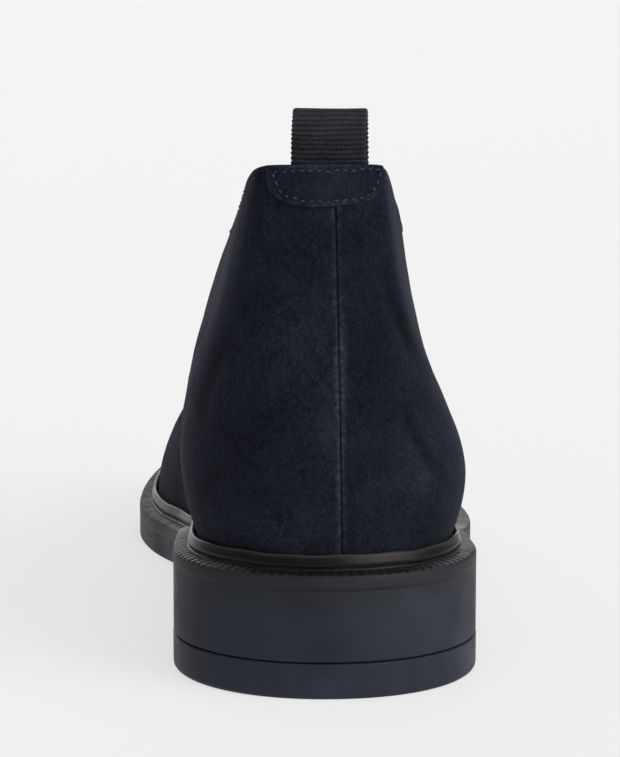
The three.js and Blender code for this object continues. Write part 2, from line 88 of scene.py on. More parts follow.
class Look:
    """A material in the making, with a short way to each shader node that the surfaces need. A value is a
    number or a node's output, and a colour is three numbers or an output."""

    def __init__(self, name):
        self.material = bpy.data.materials.new(name)
        self.material.use_nodes = True
        self.tree = self.material.node_tree
        self.shader = self.tree.nodes["Principled BSDF"]

    def fill(self, socket, value):
        """Sets a socket to a number or a colour, or links an output to it."""
        if isinstance(value, bpy.types.NodeSocket):
            self.tree.links.new(value, socket)
        elif isinstance(value, tuple):
            socket.default_value = (*value, 1)
        else:
            socket.default_value = value

    def set(self, name, value):
        """Sets one of the main shader's own sockets."""
        self.fill(self.shader.inputs[name], value)

    def uv(self):
        """The u and v of the piece's own map."""
        node = self.tree.nodes.new("ShaderNodeSeparateXYZ")
        self.fill(node.inputs["Vector"], self.tree.nodes.new("ShaderNodeTexCoord").outputs["UV"])
        return node.outputs["X"], node.outputs["Y"]

    def mark(self, name):
        """The value that a piece carries at its vertices under this name."""
        node = self.tree.nodes.new("ShaderNodeAttribute")
        node.attribute_name = name
        return node.outputs["Fac"]

    def noise(self, scale, detail, roughness=0.5, stretch=None):
        """A solid noise, optionally stretched, from 0 to 1."""
        texture = self.tree.nodes.new("ShaderNodeTexNoise")
        texture.inputs["Scale"].default_value = scale
        texture.inputs["Detail"].default_value = detail
        texture.inputs["Roughness"].default_value = roughness
        place = self.tree.nodes.new("ShaderNodeTexCoord").outputs["Object"]
        if stretch:
            mapping = self.tree.nodes.new("ShaderNodeMapping")
            mapping.inputs["Scale"].default_value = stretch
            self.fill(mapping.inputs["Vector"], place)
            place = mapping.outputs["Vector"]
        self.fill(texture.inputs["Vector"], place)
        return texture.outputs["Fac"]

    def ramp(self, value, stops):
        """A colour ramp over a value; stops are (position, colour)."""
        node = self.tree.nodes.new("ShaderNodeValToRGB")
        while len(node.color_ramp.elements) < len(stops):
            node.color_ramp.elements.new(0.5)
        for element, (position, colour) in zip(node.color_ramp.elements, stops):
            element.position = position
            element.color = (*colour, 1)
        self.fill(node.inputs["Fac"], value)
        return node.outputs["Color"]

    def calculate(self, operation, first, second=0):
        """A math node on one value or two."""
        node = self.tree.nodes.new("ShaderNodeMath")
        node.operation = operation
        self.fill(node.inputs[0], first)
        self.fill(node.inputs[1], second)
        return node.outputs["Value"]

    def times(self, first, second):
        """The product of two values."""
        return self.calculate("MULTIPLY", first, second)

    def plus(self, first, second):
        """The sum of two values."""
        return self.calculate("ADD", first, second)

    def mixed(self, factor, first, second, blend="MIX"):
        """A mix of two colours."""
        node = self.tree.nodes.new("ShaderNodeMix")
        node.data_type = "RGBA"
        node.blend_type = blend
        for index, value in ((0, factor), (6, first), (7, second)):
            self.fill(node.inputs[index], value)
        return node.outputs[2]

    def bump(self, height, strength, distance, under=None):
        """A bump from a height value; distance is in metres."""
        node = self.tree.nodes.new("ShaderNodeBump")
        node.inputs["Strength"].default_value = strength
        node.inputs["Distance"].default_value = distance
        self.fill(node.inputs["Height"], height)
        if under is not None:
            self.fill(node.inputs["Normal"], under)
        return node.outputs["Normal"]


floor_look = Look("pale floor")
floor_look.set("Base Color", grey(0.25))
floor_look.set("Emission Color", WHITE)
floor_look.set("Emission Strength", 0.63)
floor_look.set("Roughness", 0.9)
floor_look.set("Specular IOR Level", 0.1)
FLOOR_REACH = 60.0
floor_mesh = bpy.data.meshes.new("floor")
corners = [(-1, -1), (1, -1), (1, 1), (-1, 1)]
floor_mesh.from_pydata([(x * FLOOR_REACH, y * FLOOR_REACH, 0) for x, y in corners], [], [(0, 1, 2, 3)])
floor_mesh.materials.append(floor_look.material)
floor = bpy.data.objects.new("floor", floor_mesh)
bpy.context.scene.collection.objects.link(floor)

world = bpy.data.worlds.new("studio")
bpy.context.scene.world = world
world.use_nodes = True
world.node_tree.nodes["Background"].inputs["Color"].default_value = (0.98, 0.99, 1.0, 1)
world.node_tree.nodes["Background"].inputs["Strength"].default_value = 0.32
bpy.context.scene.view_settings.view_transform = "Standard"


def soft_sun(name, direction, spread, strength):
    """A wide soft light that shines along direction; spread is its width in degrees."""
    light = bpy.data.objects.new(name, bpy.data.lights.new(name, "SUN"))
    bpy.context.scene.collection.objects.link(light)
    light.data.angle = math.radians(spread)
    light.data.energy = strength
    light.rotation_mode = "QUATERNION"
    light.rotation_quaternion = Vector(direction).to_track_quat("-Z", "Y")


soft_sun("overhead", (-0.1, 0.3, -1.0), 70, 0.9)
soft_sun("from the right", (-0.9, 0.65, -0.5), 50, 1.8)
soft_sun("behind the eye", (-0.5, 0.9, -0.3), 40, 0.7)
soft_sun("backdrop", (0.1, -1.0, -0.22), 55, 0.8)

# ------------------------------------------------------------------------------
# The outsole and its heel block: one moulding of black rubber, satin on its trimmed side, with cross lugs
# under the ball. Its lower edge is rounded a little. The outline is that of a right foot's last.

OUTLINE = dict(
    y=[-20, 43, 80, 118, 152, 176, 196, 216, 240, 270, 300, 320],
    axis=[0, 0, 0, 0.5, 1.5, 2, 2, 1.5, 0, -2, -3.5, -4],
    inner=[40, 40, 37.8, 35.5, 38, 42, 47.2, 49.8, 49, 47.2, 46, 46],
    outer=[40, 40, 40, 42.5, 48.5, 52.3, 54, 53.6, 51.8, 49.5, 48.5, 48],
)
SEAT = dict(
    y=[-10, 0, 40, 75, 105, 135, 165, 195, 220, 250, 280, 300, 310],
    z=[28.2, 28, 27.6, 25.8, 20.6, 13.8, 8.8, 7, 7.2, 9.2, 13.4, 17.2, 19.2],
)
BREAST_Y = 78.0
UNDERSIDE = dict(
    y=[BREAST_Y, 100, 125, 150, 170, 184, 222, 235, 250, 280, 300, 310],
    z=[18.4, 15.4, 10, 4.6, 1.2, 0, 0, 0.6, 2.1, 6.3, 10, 12],
)
HEEL_ROUND, HEEL_POWER = 43.0, 2.1
TOE_ROUND, TOE_POWER = 84.0, 2.25
LIFT_HEIGHT = 9.2


def curve_through(at, value):
    """Cubic pieces through the points; the slope at a point is that of the line between its neighbours."""
    at, value = np.asarray(at, float), np.asarray(value, float)
    before = np.maximum(np.arange(len(at)) - 1, 0)
    after = np.minimum(np.arange(len(at)) + 1, len(at) - 1)
    slope = (value[after] - value[before]) / (at[after] - at[before])

    def curve(x):
        p = np.clip(x, at[0], at[-1])
        i = np.clip(np.searchsorted(at, p, side="right") - 1, 0, len(at) - 2)
        width = at[i + 1] - at[i]
        t = (p - at[i]) / width
        rise = value[i] * (2 * t**3 - 3 * t**2 + 1) + value[i + 1] * (3 * t**2 - 2 * t**3)
        return rise + width * (slope[i] * (t**3 - 2 * t**2 + t) + slope[i + 1] * (t**3 - t**2))

    return curve


foot_axis = curve_through(OUTLINE["y"], OUTLINE["axis"])
inner_half = curve_through(OUTLINE["y"], OUTLINE["inner"])
outer_half = curve_through(OUTLINE["y"], OUTLINE["outer"])
seat_height = curve_through(SEAT["y"], SEAT["z"])
underside_height = curve_through(UNDERSIDE["y"], UNDERSIDE["z"])


def unit(vectors):
    """Vectors of length 1 in the same directions."""
    return vectors / np.linalg.norm(vectors, axis=-1, keepdims=True)


def side_of(station):
    """Splits a station into its place s from heel (0) to toe (1) and whether it lies on the outer side."""
    turn = np.mod(station, 2)
    return np.where(turn <= 1, turn, 2 - turn), turn <= 1


def round_point(station, inset=0.0):
    """The sole's edge at a station from 0 at the heel over the outer side to 1 at the toe and 2 again at
    the heel, moved inwards by inset: y is a cosine of the station, x the half width there, closed by
    superellipses."""

    def edge(q):
        s, outer = side_of(q)
        side = np.where(outer, 1.0, -1.0)
        y = SOLE_LENGTH * (1 - np.cos(np.pi * s)) / 2
        heel_depth = np.clip((HEEL_ROUND - y) / HEEL_ROUND, 0, 1)
        toe_depth = np.clip((y - SOLE_LENGTH + TOE_ROUND) / TOE_ROUND, 0, 1)
        heel = (1 - heel_depth**HEEL_POWER) ** (1 / HEEL_POWER)
        toe = (1 - toe_depth**TOE_POWER) ** (1 / TOE_POWER)
        half = np.where(outer, outer_half(y), inner_half(y))
        return np.stack([foot_axis(y) + side * half * heel * toe, y], -1)

    step = 0.004
    along = unit(edge(station + step) - edge(station - step))
    inwards = np.stack([-along[..., 1], along[..., 0]], -1)
    return edge(station) + inwards * np.asarray(inset, float)[..., None]


def length_along(line):
    """The length of a line of points up to each of them."""
    return np.append(0, np.cumsum(np.linalg.norm(np.diff(line, axis=0), axis=1)))


def sampled(line, length, at):
    """The places of a line at the lengths in at."""
    return np.stack([np.interp(at, length, line[:, k]) for k in range(line.shape[1])], -1)


FINE_STATIONS = np.linspace(0, 2, 4001)
EDGE_LENGTH = length_along(round_point(FINE_STATIONS))


def even_stations(count):
    """Stations with equal steps of length round the sole's edge."""
    return np.interp(np.arange(count) / count * EDGE_LENGTH[-1], EDGE_LENGTH, FINE_STATIONS)


def mesh_piece(name, vertices, faces, material, slot, nodes, uv=None, smooth_angle=None, marks=None):
    """Makes an object of vertices in millimetres, shades it smooth, and hands it over to the boot's body.
    marks are named values per vertex for the material to read."""
    mesh = bpy.data.meshes.new(name)
    faces = np.asarray(faces, np.int32)
    mesh.vertices.add(len(vertices))
    mesh.vertices.foreach_set("co", to_frame(vertices).ravel())
    mesh.loops.add(faces.size)
    mesh.loops.foreach_set("vertex_index", faces.ravel())
    mesh.polygons.add(len(faces))
    mesh.polygons.foreach_set("loop_start", np.arange(len(faces), dtype=np.int32) * faces.shape[1])
    if uv is not None:
        layer = mesh.uv_layers.new(name="along")
        layer.data.foreach_set("uv", np.asarray(uv, float)[faces.ravel()].ravel())
    for mark, values in (marks or {}).items():
        layer = mesh.attributes.new(mark, "FLOAT", "POINT")
        layer.data.foreach_set("value", np.asarray(values, np.float32).ravel())
    mesh.materials.append(material)
    mesh.polygons.foreach_set("use_smooth", np.ones(len(faces), bool))
    mesh.update(calc_edges=True)
    mesh.validate()
    piece = bpy.data.objects.new(name, mesh)
    bpy.context.scene.collection.objects.link(piece)
    close_seams(piece)
    if smooth_angle:
        mesh.set_sharp_from_angle(angle=math.radians(smooth_angle))
    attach(piece, "root")
    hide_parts(*nodes)


SEAM_METRES = 2e-6


def close_seams(piece):
    """Merges vertices in one place and drops the faces that this makes empty."""
    work = bmesh.new()
    work.from_mesh(piece.data)
    bmesh.ops.remove_doubles(work, verts=work.verts, dist=SEAM_METRES)
    bmesh.ops.dissolve_degenerate(work, dist=SEAM_METRES / 4, edges=work.edges)
    work.to_mesh(piece.data)
    work.free()


def grid_faces(rows, columns, wrap_rows=False, wrap_columns=False, start=0):
    """The quads of a grid of rows by columns of vertices, optionally closed on itself either way."""
    i = np.arange(rows if wrap_rows else rows - 1)[:, None]
    j = np.arange(columns if wrap_columns else columns - 1)[None, :]
    ahead, beside = (i + 1) % rows, (j + 1) % columns
    corners = [i * columns + j, ahead * columns + j, ahead * columns + beside, i * columns + beside]
    return start + np.stack([np.broadcast_to(c, (i.size, j.size)) for c in corners], -1).reshape(-1, 4)


EDGE_METRES = 0.7


def ring_piece(name, rings, material, slot, nodes, closed_section=False, **look):
    """A closed body from rings (stations x points x 3): a profile carried round a closed edge. Its v
    coordinate is the depth below the seat and its u the place along the edge, both in metres."""
    count, points = rings.shape[:2]
    faces = grid_faces(count, points, wrap_rows=True, wrap_columns=closed_section)
    depth = seat_height(rings[..., 1]) - rings[..., 2]
    along = np.broadcast_to(np.linspace(0, EDGE_METRES, count)[:, None], depth.shape)
    uv = np.stack([along, depth * MM], -1).reshape(-1, 2)
    mesh_piece(name, rings.reshape(-1, 3), faces[:, ::-1], material, slot, nodes, uv=uv, **look)


def smooth_step(x, low, high):
    """0 below low, 1 above high, and an even S between."""
    t = np.clip((x - low) / (high - low), 0, 1)
    return t * t * (3 - 2 * t)


LUG_PITCH, TREAD_RIM = 13.0, 9.0
GROOVE_WIDTH, GROOVE_DEPTH, GROOVE_SLOPE = 4.0, 2.0, 0.8
UNDER_STEPS, OVER_STEPS = 40, 6


def tread_depth(y, first, last, edge_room):
    """How deep the tread is cut at a point: cross grooves with sloping walls, kept inside an uncut rim."""
    phase = np.mod(y - first, LUG_PITCH)
    groove = smooth_step(phase, 0, GROOVE_SLOPE)
    groove = groove * (1 - smooth_step(phase, GROOVE_WIDTH - GROOVE_SLOPE, GROOVE_WIDTH))
    inside = smooth_step(edge_room, TREAD_RIM - GROOVE_SLOPE / 2, TREAD_RIM + GROOVE_SLOPE / 2)
    return GROOVE_DEPTH * groove * inside * ((y > first) & (y < last))


def layer_rings(edge_at, side_profile, bottom, top, axis_span, tread):
    """Rings of a sole layer: across its top from the foot's axis, down the rounded side, and across the
    tread back to the axis. edge_at(inset) gives the edge, and side_profile rows are (inset, 1 at the top or
    0 at the bottom, height past it). Rings that face each other meet in one point of the axis, so the layer
    closes there."""
    insets, at_top, past = (np.array(column, float) for column in zip(*side_profile))
    edge = np.stack([edge_at(inset) for inset in insets], 1)
    height = np.where(at_top > 0, top(edge[..., 1]), bottom(edge[..., 1])) + past
    side = np.concatenate([edge, height[..., None]], -1)
    y = edge[:, 0, 1]
    y = np.clip((y + np.roll(y[::-1], 1)) / 2, *axis_span)
    axis = np.stack([foot_axis(y), y], -1)[:, None, :]
    across = np.linspace(0, 1, UNDER_STEPS)[1:][None, :, None]
    under = side[:, -1:, :2] * (1 - across) + axis * across
    room = insets[-1] + np.linalg.norm(under - side[:, -1:, :2], axis=-1)
    under_z = bottom(under[..., 1]) + tread_depth(under[..., 1], *tread, room)
    under = np.concatenate([under, under_z[..., None]], -1)
    back = np.linspace(1, 0, OVER_STEPS)[:-1][None, :, None]
    over = side[:, :1, :2] * (1 - back) + axis * back
    over = np.concatenate([over, top(over[..., 1])[..., None]], -1)
    return np.concatenate([over, side, under], 1)


def rubber(name, dark, light, gloss, grain):
    """Black rubber: a faint cloudy bloom, a warmer band under the welt where it was trimmed, a fine moulded
    grain, and pale hairline scuffs that lie along the edge."""
    look = Look(name)
    bloom = look.noise(38, 4, 0.6)
    fine = look.noise(900, 3, 0.6)
    scuff = look.noise(420, 2, 0.7, stretch=(0.12, 0.12, 1.6))
    colour = look.ramp(bloom, [(0.3, dark), (0.75, light)])
    scuffed = look.ramp(scuff, [(0.66, BLACK), (0.8, WHITE)])
    colour = look.mixed(look.times(scuffed, 0.2), colour, tuple(2.2 * c for c in light))
    depth = look.uv()[1]
    depth = look.plus(depth, look.times(bloom, 0.002))
    trimmed = look.ramp(look.times(depth, 100), [(0.25, WHITE), (0.55, BLACK)])
    warm = (light[0] * 0.72, light[1] * 0.6, light[2] * 0.45)
    colour = look.mixed(look.times(trimmed, 0.5), colour, warm)
    look.set("Base Color", colour)
    rough = look.ramp(look.noise(95, 4, 0.6), [(0.3, grey(gloss - 0.07)), (0.7, grey(gloss + 0.1))])
    look.set("Roughness", rough)
    look.set("Normal", look.bump(fine, grain, 0.0002))
    look.set("Specular IOR Level", 0.1)
    return look.material


sole_material = rubber("satin sole rubber", (0.0136, 0.0160, 0.0226), (0.0258, 0.0303, 0.0420), 0.48, 0.12)

SOLE_STATIONS = 460
BREAST_STATIONS = [77.3, 77.5, 77.9, 78.1, 78.3]
BREAST_SLOPE = 0.2
GAP = 0.3
EDGE_ROOM = 0.1
FLAT_RIM = 4.0
# From where to where, in y, the middle line of the sole runs and its tread is cut.
SOLE_AXIS, SOLE_TREAD, NO_TREAD = (34, 252), (160, 284), (900, 900)


def station_at(y):
    """The station on the outer side whose edge lies at y."""
    return np.arccos(1 - 2 * np.asarray(y, float) / SOLE_LENGTH) / np.pi


def mirrored_stations(count, extra):
    """Stations round the whole edge, the same ones on both sides, with some extra ones given by their y."""
    half = even_stations(count)
    half = np.sort(np.concatenate([half[half < 1], station_at(extra), [1]]))
    return np.concatenate([half, 2 - half[-2:0:-1]])


stations = mirrored_stations(SOLE_STATIONS, BREAST_STATIONS)


def eased_side(top_ease, bottom_ease, rim):
    """Side profile rows with a quarter round of the given radius at the top and at the bottom edge, and a
    flat rim of the given width underneath."""
    turn = np.linspace(0, np.pi / 2, 5)
    top_rows = [(top_ease * (1 - math.sin(a)), 1, -top_ease * (1 - math.cos(a))) for a in turn]
    bottom_rows = [(bottom_ease * (1 - math.cos(a)), 0, bottom_ease * (1 - math.sin(a))) for a in turn]
    flat = [(0, 1, -top_ease - 0.5), (0, 0, bottom_ease + 0.5)]
    return [(5, 1, 0)] + top_rows + flat + bottom_rows + [(rim, 0, 0)]


def sole_bottom(y):
    """The moulding's underside: the heel block's flat base, the breast, the shank, the ball, the toe spring."""
    breast = smooth_step(y, BREAST_Y - BREAST_SLOPE, BREAST_Y + BREAST_SLOPE)
    return (LIFT_HEIGHT + GAP) * (1 - breast) + underside_height(y) * breast


moulding = layer_rings(
    lambda inset: round_point(stations, inset + EDGE_ROOM),
    eased_side(0.02, 0.5, FLAT_RIM),
    sole_bottom,
    seat_height,
    SOLE_AXIS,
    SOLE_TREAD,
)
ring_piece("outsole_moulding", moulding, sole_material, "sole_rubber", ["outsole"], smooth_angle=50)

# ------------------------------------------------------------------------------
# The top lift: the lowest layer of the heel, a slab of the same rubber cemented under the block. The joint
# shows as a fine dark line, because both edges are eased.

LIFT_AXIS, LIFT_TREAD = (36, 46), (17, 68)
LIFT_RIM = 1.7
CORNER_BLURS = 5


def heel_edge(inset, count=300):
    """The edge of the heel: the sole's edge back of the breast, closed by a straight breast, with the two
    corners between them eased by an even blur along the edge."""
    turn = station_at(BREAST_Y - GAP)
    back = round_point(np.linspace(0, turn, 400))
    front = round_point(np.linspace(2 - turn, 2, 400))
    loop = np.concatenate([back, np.linspace(back[-1], front[0], 240)[1:-1], front])
    length = length_along(loop)
    points = sampled(loop, length, np.arange(count) / count * length[-1])
    for _ in range(CORNER_BLURS):
        points = (np.roll(points, 1, 0) + 2 * points + np.roll(points, -1, 0)) / 4
    along = unit(np.roll(points, -1, 0) - np.roll(points, 1, 0))
    return points + inset * np.stack([-along[:, 1], along[:, 0]], -1)


lift = layer_rings(
    heel_edge,
    eased_side(0.4, 1.3, LIFT_RIM),
    lambda y: 0 * y,
    lambda y: LIFT_HEIGHT + 0 * y,
    LIFT_AXIS,
    LIFT_TREAD,
)
ring_piece("top_lift_slab", lift, sole_material, "sole_rubber", ["top_lift"], smooth_angle=50)

# ------------------------------------------------------------------------------
# The storm welt: a strip of brown-black rubber stitched round the boot. Its flange is wheeled with fine
# ribs that notch the edge, and its bead stands up against the upper like a bent lip.

STATIONS_PER_RIB = 8
RIB_PITCH, RIB_DEPTH, NOTCH_DEPTH = 2.6, 0.7, 0.35
RIBS_FADE = (0.07, 0.17)
rib_count = round(EDGE_LENGTH[-1] / RIB_PITCH)
welt_q = even_stations(rib_count * STATIONS_PER_RIB)
# Inset from the sole's edge, height above the seat, how much of the ribs shows, and the lip's painted
# highlight.
WELT_SECTION = dict(
    inset=[2, 0.08, 0.08, 0.08, 0.2, 0.45, 0.9, 2.4, 3.5, 4.1, 4.25, 4.1]
    + [4.0, 4.2, 4.5, 4.55, 4.75, 5.2, 5.7, 6.0, 6.0],
    height=[0.02, -0.25, 1, 2.6, 3.3, 3.7, 3.9, 4.2, 4.3, 4.1, 4.6, 5.2]
    + [5.9, 6.5, 7.0, 7.6, 8.0, 8.1, 7.8, 7.2, 0.3],
    ribs=[0] * 4 + [0.25, 0.7, 1, 1, 0.8, 0.1] + [0] * 11,
    lip_highlight=[0] * 15 + [0.1, 0.3, 0.3, 0.1, 0, 0],
)
inset, height, ribs, lip_highlight = (np.array(row, float)[None, :] for row in WELT_SECTION.values())
rib_phase = np.arange(len(welt_q)) / STATIONS_PER_RIB
worn = 0.75 + 0.25 * np.sin(1.7 * np.floor(rib_phase)) * np.sin(0.37 * np.floor(rib_phase) + 1)
from_back = smooth_step(np.minimum(welt_q, 2 - welt_q), *RIBS_FADE)
worn = worn * (0.4 + 0.6 * from_back)
wave = 1 - (worn * (1 - np.abs(np.cos(np.pi * rib_phase)) ** 0.6))[:, None]
notch = ribs * (1 - wave)
edge = round_point(welt_q[:, None] + 0 * inset, inset + NOTCH_DEPTH * notch * (inset < 1))
bead_wave = 0.12 * np.sin(welt_q * 41)[:, None] + 0.1 * np.sin(welt_q * 97 + 1)[:, None]
welt_z = seat_height(round_point(welt_q)[:, 1])[:, None] + height - RIB_DEPTH * notch
welt_z = welt_z + bead_wave * (height > 5) * (inset < 5.9)
welt_rings = np.concatenate([edge, welt_z[..., None]], -1)[:, ::-1]


def welt_rubber():
    """Brown-black rubber, glossy on the bead and the wheeled ribs; its trimmed side is like the sole's. Its
    crown mark paints the rib crowns pale (dust and a painted highlight) and the bead's lip (a painted highlight
    line).
    """
    look = Look("storm welt rubber")
    cloud = look.noise(38, 4, 0.6)
    above = look.times(look.uv()[1], -100)
    colour = look.ramp(cloud, [(0.3, (0.0022, 0.0017, 0.0020)), (0.75, (0.0050, 0.0039, 0.0044))])
    side = look.ramp(cloud, [(0.3, (0.0160, 0.0171, 0.0208)), (0.75, (0.0221, 0.0243, 0.0305))])
    on_top = look.ramp(above, [(0.31, BLACK), (0.37, WHITE)])
    # Pale grey painted on the marked crowns: dust and a painted highlight on the rib crowns, a painted
    # highlight line on the bead's lip.
    crown = look.times(look.mark("crown"), 0.55)
    colour = look.mixed(crown, colour, (0.15, 0.148, 0.153))
    look.set("Base Color", look.mixed(on_top, side, colour))
    smear = look.noise(160, 3, 0.6)
    shine = look.ramp(smear, [(0.3, grey(0.28)), (0.7, grey(0.4))])
    look.set("Roughness", look.mixed(on_top, grey(0.5), shine))
    look.set("Normal", look.bump(look.noise(700, 3), 0.1, 0.0002))
    gloss = look.plus(look.times(on_top, 0.08), 0.1)
    look.set("Specular IOR Level", gloss)
    look.set("Specular Tint", (1.0, 0.93, 0.98))
    return look.material


# The crown mark: the rib crowns, faded out round the heel's back (dust and a painted highlight), and the lip's
# painted highlight line.
crown = (ribs * wave**3 * (0.08 + 0.92 * from_back)[:, None] + lip_highlight)[:, ::-1].ravel()
ring_piece(
    "storm_welt",
    welt_rings,
    welt_rubber(),
    "welt_rubber",
    ["welt"],
    closed_section=True,
    marks={"crown": crown},
)

# ------------------------------------------------------------------------------
# The insole: a thin sheet of tan sock leather on a board, cemented down on the moulding inside the upper.
# Its upper edge is eased.

INSOLE_INSET, INSOLE_THICKNESS = 8.6, 3.0


def insole_leather():
    """Tan leather: fine pores, soft darker handling stains."""
    look = Look("tan sock leather")
    colour = look.ramp(look.noise(30, 4, 0.6), [(0.3, (0.10, 0.062, 0.036)), (0.75, (0.17, 0.11, 0.068))])
    look.set("Base Color", colour)
    look.set("Roughness", 0.6)
    look.set("Normal", look.bump(look.noise(1400, 3, 0.6), 0.25, 0.0002))
    return look.material


insole = layer_rings(
    lambda inset: round_point(stations, INSOLE_INSET + inset),
    eased_side(0.8, 0.3, FLAT_RIM),
    lambda y: seat_height(y) + GAP,
    lambda y: seat_height(y) + INSOLE_THICKNESS,
    SOLE_AXIS,
    NO_TREAD,
)
ring_piece("sock_insole", insole, insole_leather(), "insole_leather", ["insole"])

# ------------------------------------------------------------------------------
# The upper: midnight-blue suede in three panels, two quarters that meet in a butted seam at the heel, and
# the vamp that runs under their front edges. All stand on one surface, a curved rib from the welt's bead up
# to the top line at every station.

UPPER_INSET, RIM_HEIGHT = 6.3, 8.3
# The part hidden behind the welt: its depth, and the span of t below 0 that it takes.
SKIRT, SKIRT_SPAN = 8.0, 0.1
THROAT_END = 0.575
TOP_LINE = dict(
    s=[0, 0.06, 0.12, 0.17, 0.22, 0.27, 0.32, 0.36, 0.4, 0.43, 0.45, 0.475, 0.5, 0.525, 0.55, 0.5625, 0.575]
    + [0.62, 0.67, 0.72, 0.78, 0.84, 0.9, 0.95, 1],
    inner=[0, 9.6, 17.8, 20.5, 21.6, 22.5, 23, 22.2, 18.8, 13.8, 9.4, 8.6, 8.5, 8.4, 7.4, 4.9] + [0] * 9,
    outer=[0, 7, 12.4, 14.8, 17.2, 20, 21.8, 21.8, 18.6, 13.8, 9.4, 8.6, 8.5, 8.4, 7.4, 4.9] + [0] * 9,
    y=[10.5, 10.8, 13.6, 21.4, 33, 48, 66, 82, 97, 108, 114.5, 124, 134, 144, 154, 159.4, 162.3]
    + [174, 190, 207, 224.5, 238, 247.5, 253, 256],
    z=[133.6, 133.6, 133, 130.2, 124, 118, 114.6, 114, 116, 119, 121, 114.2, 107, 100.2, 93.8, 90.9, 89.4]
    + [83.6, 76.4, 69.8, 64, 60, 57.4, 55.9, 55],
)
RIB_AT = [0, 0.12, 0.24, 0.32, 0.4, 0.45, 0.5, 0.545, 0.6, 0.67, 0.78, 0.9, 1]
INNER_RIB = dict(
    out=[4, 8, 10.5, 10, 7, 4, 2, 0.5, -0.5, -1.5, -1.5, 0, 0],
    up=[30, 28, 27, 27, 28, 30, 32, 32, 29, 25, 20, 17, 15],
    reach=[3, 5, 9, 10.5, 12, 13, 16, 19, 22, 23, 24, 24, 24],
    drop=[40, 38, 38, 34, 24, 16, 10, 6, 2, 0, 0, 0, 0],
    slope=[0, 0, 0, 0, 0.3, 0.8, 1, 1, 1, 1, 1, 1, 1],
)
OUTER_RIB = dict(
    out=[4, 9, 11, 10, 7, 4, 2, 0.5, 0, 0, 0, 0, 0],
    up=[30, 28, 29, 26, 26, 29, 31, 30, 27, 24, 19, 16, 15],
    reach=[3, 4, 6, 7, 9, 11, 14, 18, 22, 24, 25, 24, 24],
    drop=[40, 50, 60, 58, 38, 22, 12, 6, 2, 0, 0, 0, 0],
)


def mirrored_curve(at, values, odd=False):
    """A curve through the values that goes on past both ends as their mirror image."""
    sign = -1 if odd else 1
    at = [2 * at[0] - at[1]] + list(at) + [2 * at[-1] - at[-2]]
    return curve_through(at, [sign * values[1]] + list(values) + [sign * values[-2]])


top_inner = mirrored_curve(TOP_LINE["s"], TOP_LINE["inner"], odd=True)
top_outer = mirrored_curve(TOP_LINE["s"], TOP_LINE["outer"], odd=True)
top_y = mirrored_curve(TOP_LINE["s"], TOP_LINE["y"])
top_z = mirrored_curve(TOP_LINE["s"], TOP_LINE["z"])
inner_rib = {column: mirrored_curve(RIB_AT, values) for column, values in INNER_RIB.items()}
outer_rib = {column: mirrored_curve(RIB_AT, values) for column, values in OUTER_RIB.items()}


def top_slope(s):
    """How steeply the facing and the ridge of the vamp rise towards the toe, seen from the side."""
    q = np.clip(s, 0.46, 0.996)
    return (top_z(q + 0.004) - top_z(q - 0.004)) / (top_y(q + 0.004) - top_y(q - 0.004))


def top_point(station):
    """The top line at a station: collar, facing, then the ridge of the vamp, where both sides meet."""
    s, outer = side_of(station)
    reach = np.maximum(0, np.where(outer, top_outer(s), top_inner(s))) * (s < THROAT_END)
    return np.stack([np.where(outer, reach, -reach), top_y(s), top_z(s)], -1)


def rib_point(station, t):
    """A point of the upper's surface. Its rib is (1-t)^3 rim + 3(1-t)^2 t first + 3(1-t) t^2 last + t^3 top,
    and below t = 0 it goes straight down behind the welt to the seat."""
    station, t = np.broadcast_arrays(np.asarray(station, float), np.asarray(t, float))
    s, outer = side_of(station)
    foot = round_point(station, UPPER_INSET + 0 * station)
    outward = foot - round_point(station, UPPER_INSET + 1 + 0 * station)
    rim = np.concatenate([foot, (seat_height(foot[..., 1]) + RIM_HEIGHT)[..., None]], -1)
    top = top_point(station)
    rib = {key: np.where(outer, outer_rib[key](s), inner_rib[key](s)) for key in OUTER_RIB}
    towards = unit((rim - top)[..., :2]) * rib["reach"][..., None]
    rise = towards[..., 1] * top_slope(s) * inner_rib["slope"](s) - rib["drop"]
    first = rim + np.concatenate([outward * rib["out"][..., None], rib["up"][..., None]], -1)
    last = top + np.concatenate([towards, rise[..., None]], -1)
    a = np.clip(t, 0, 1)[..., None]
    point = (1 - a) ** 3 * rim + 3 * (1 - a) ** 2 * a * first + 3 * (1 - a) * a**2 * last + a**3 * top
    point[..., 2] += np.minimum(t, 0) * SKIRT / SKIRT_SPAN
    return point


def rib_normal(station, t):
    """The surface's outward direction. On the vamp's ridge it has no sideways part, so both sides agree."""
    t = np.clip(t, 0.004, 0.996)
    round_about = rib_point(station + 0.003, t) - rib_point(station - 0.003, t)
    upwards = rib_point(station, t + 0.004) - rib_point(station, t - 0.004)
    normal = np.cross(round_about, upwards)
    s, _ = side_of(station)
    ridge = smooth_step(t, 0.9, 0.996) * (s >= THROAT_END)
    normal[..., 0] *= 1 - ridge
    return unit(normal)


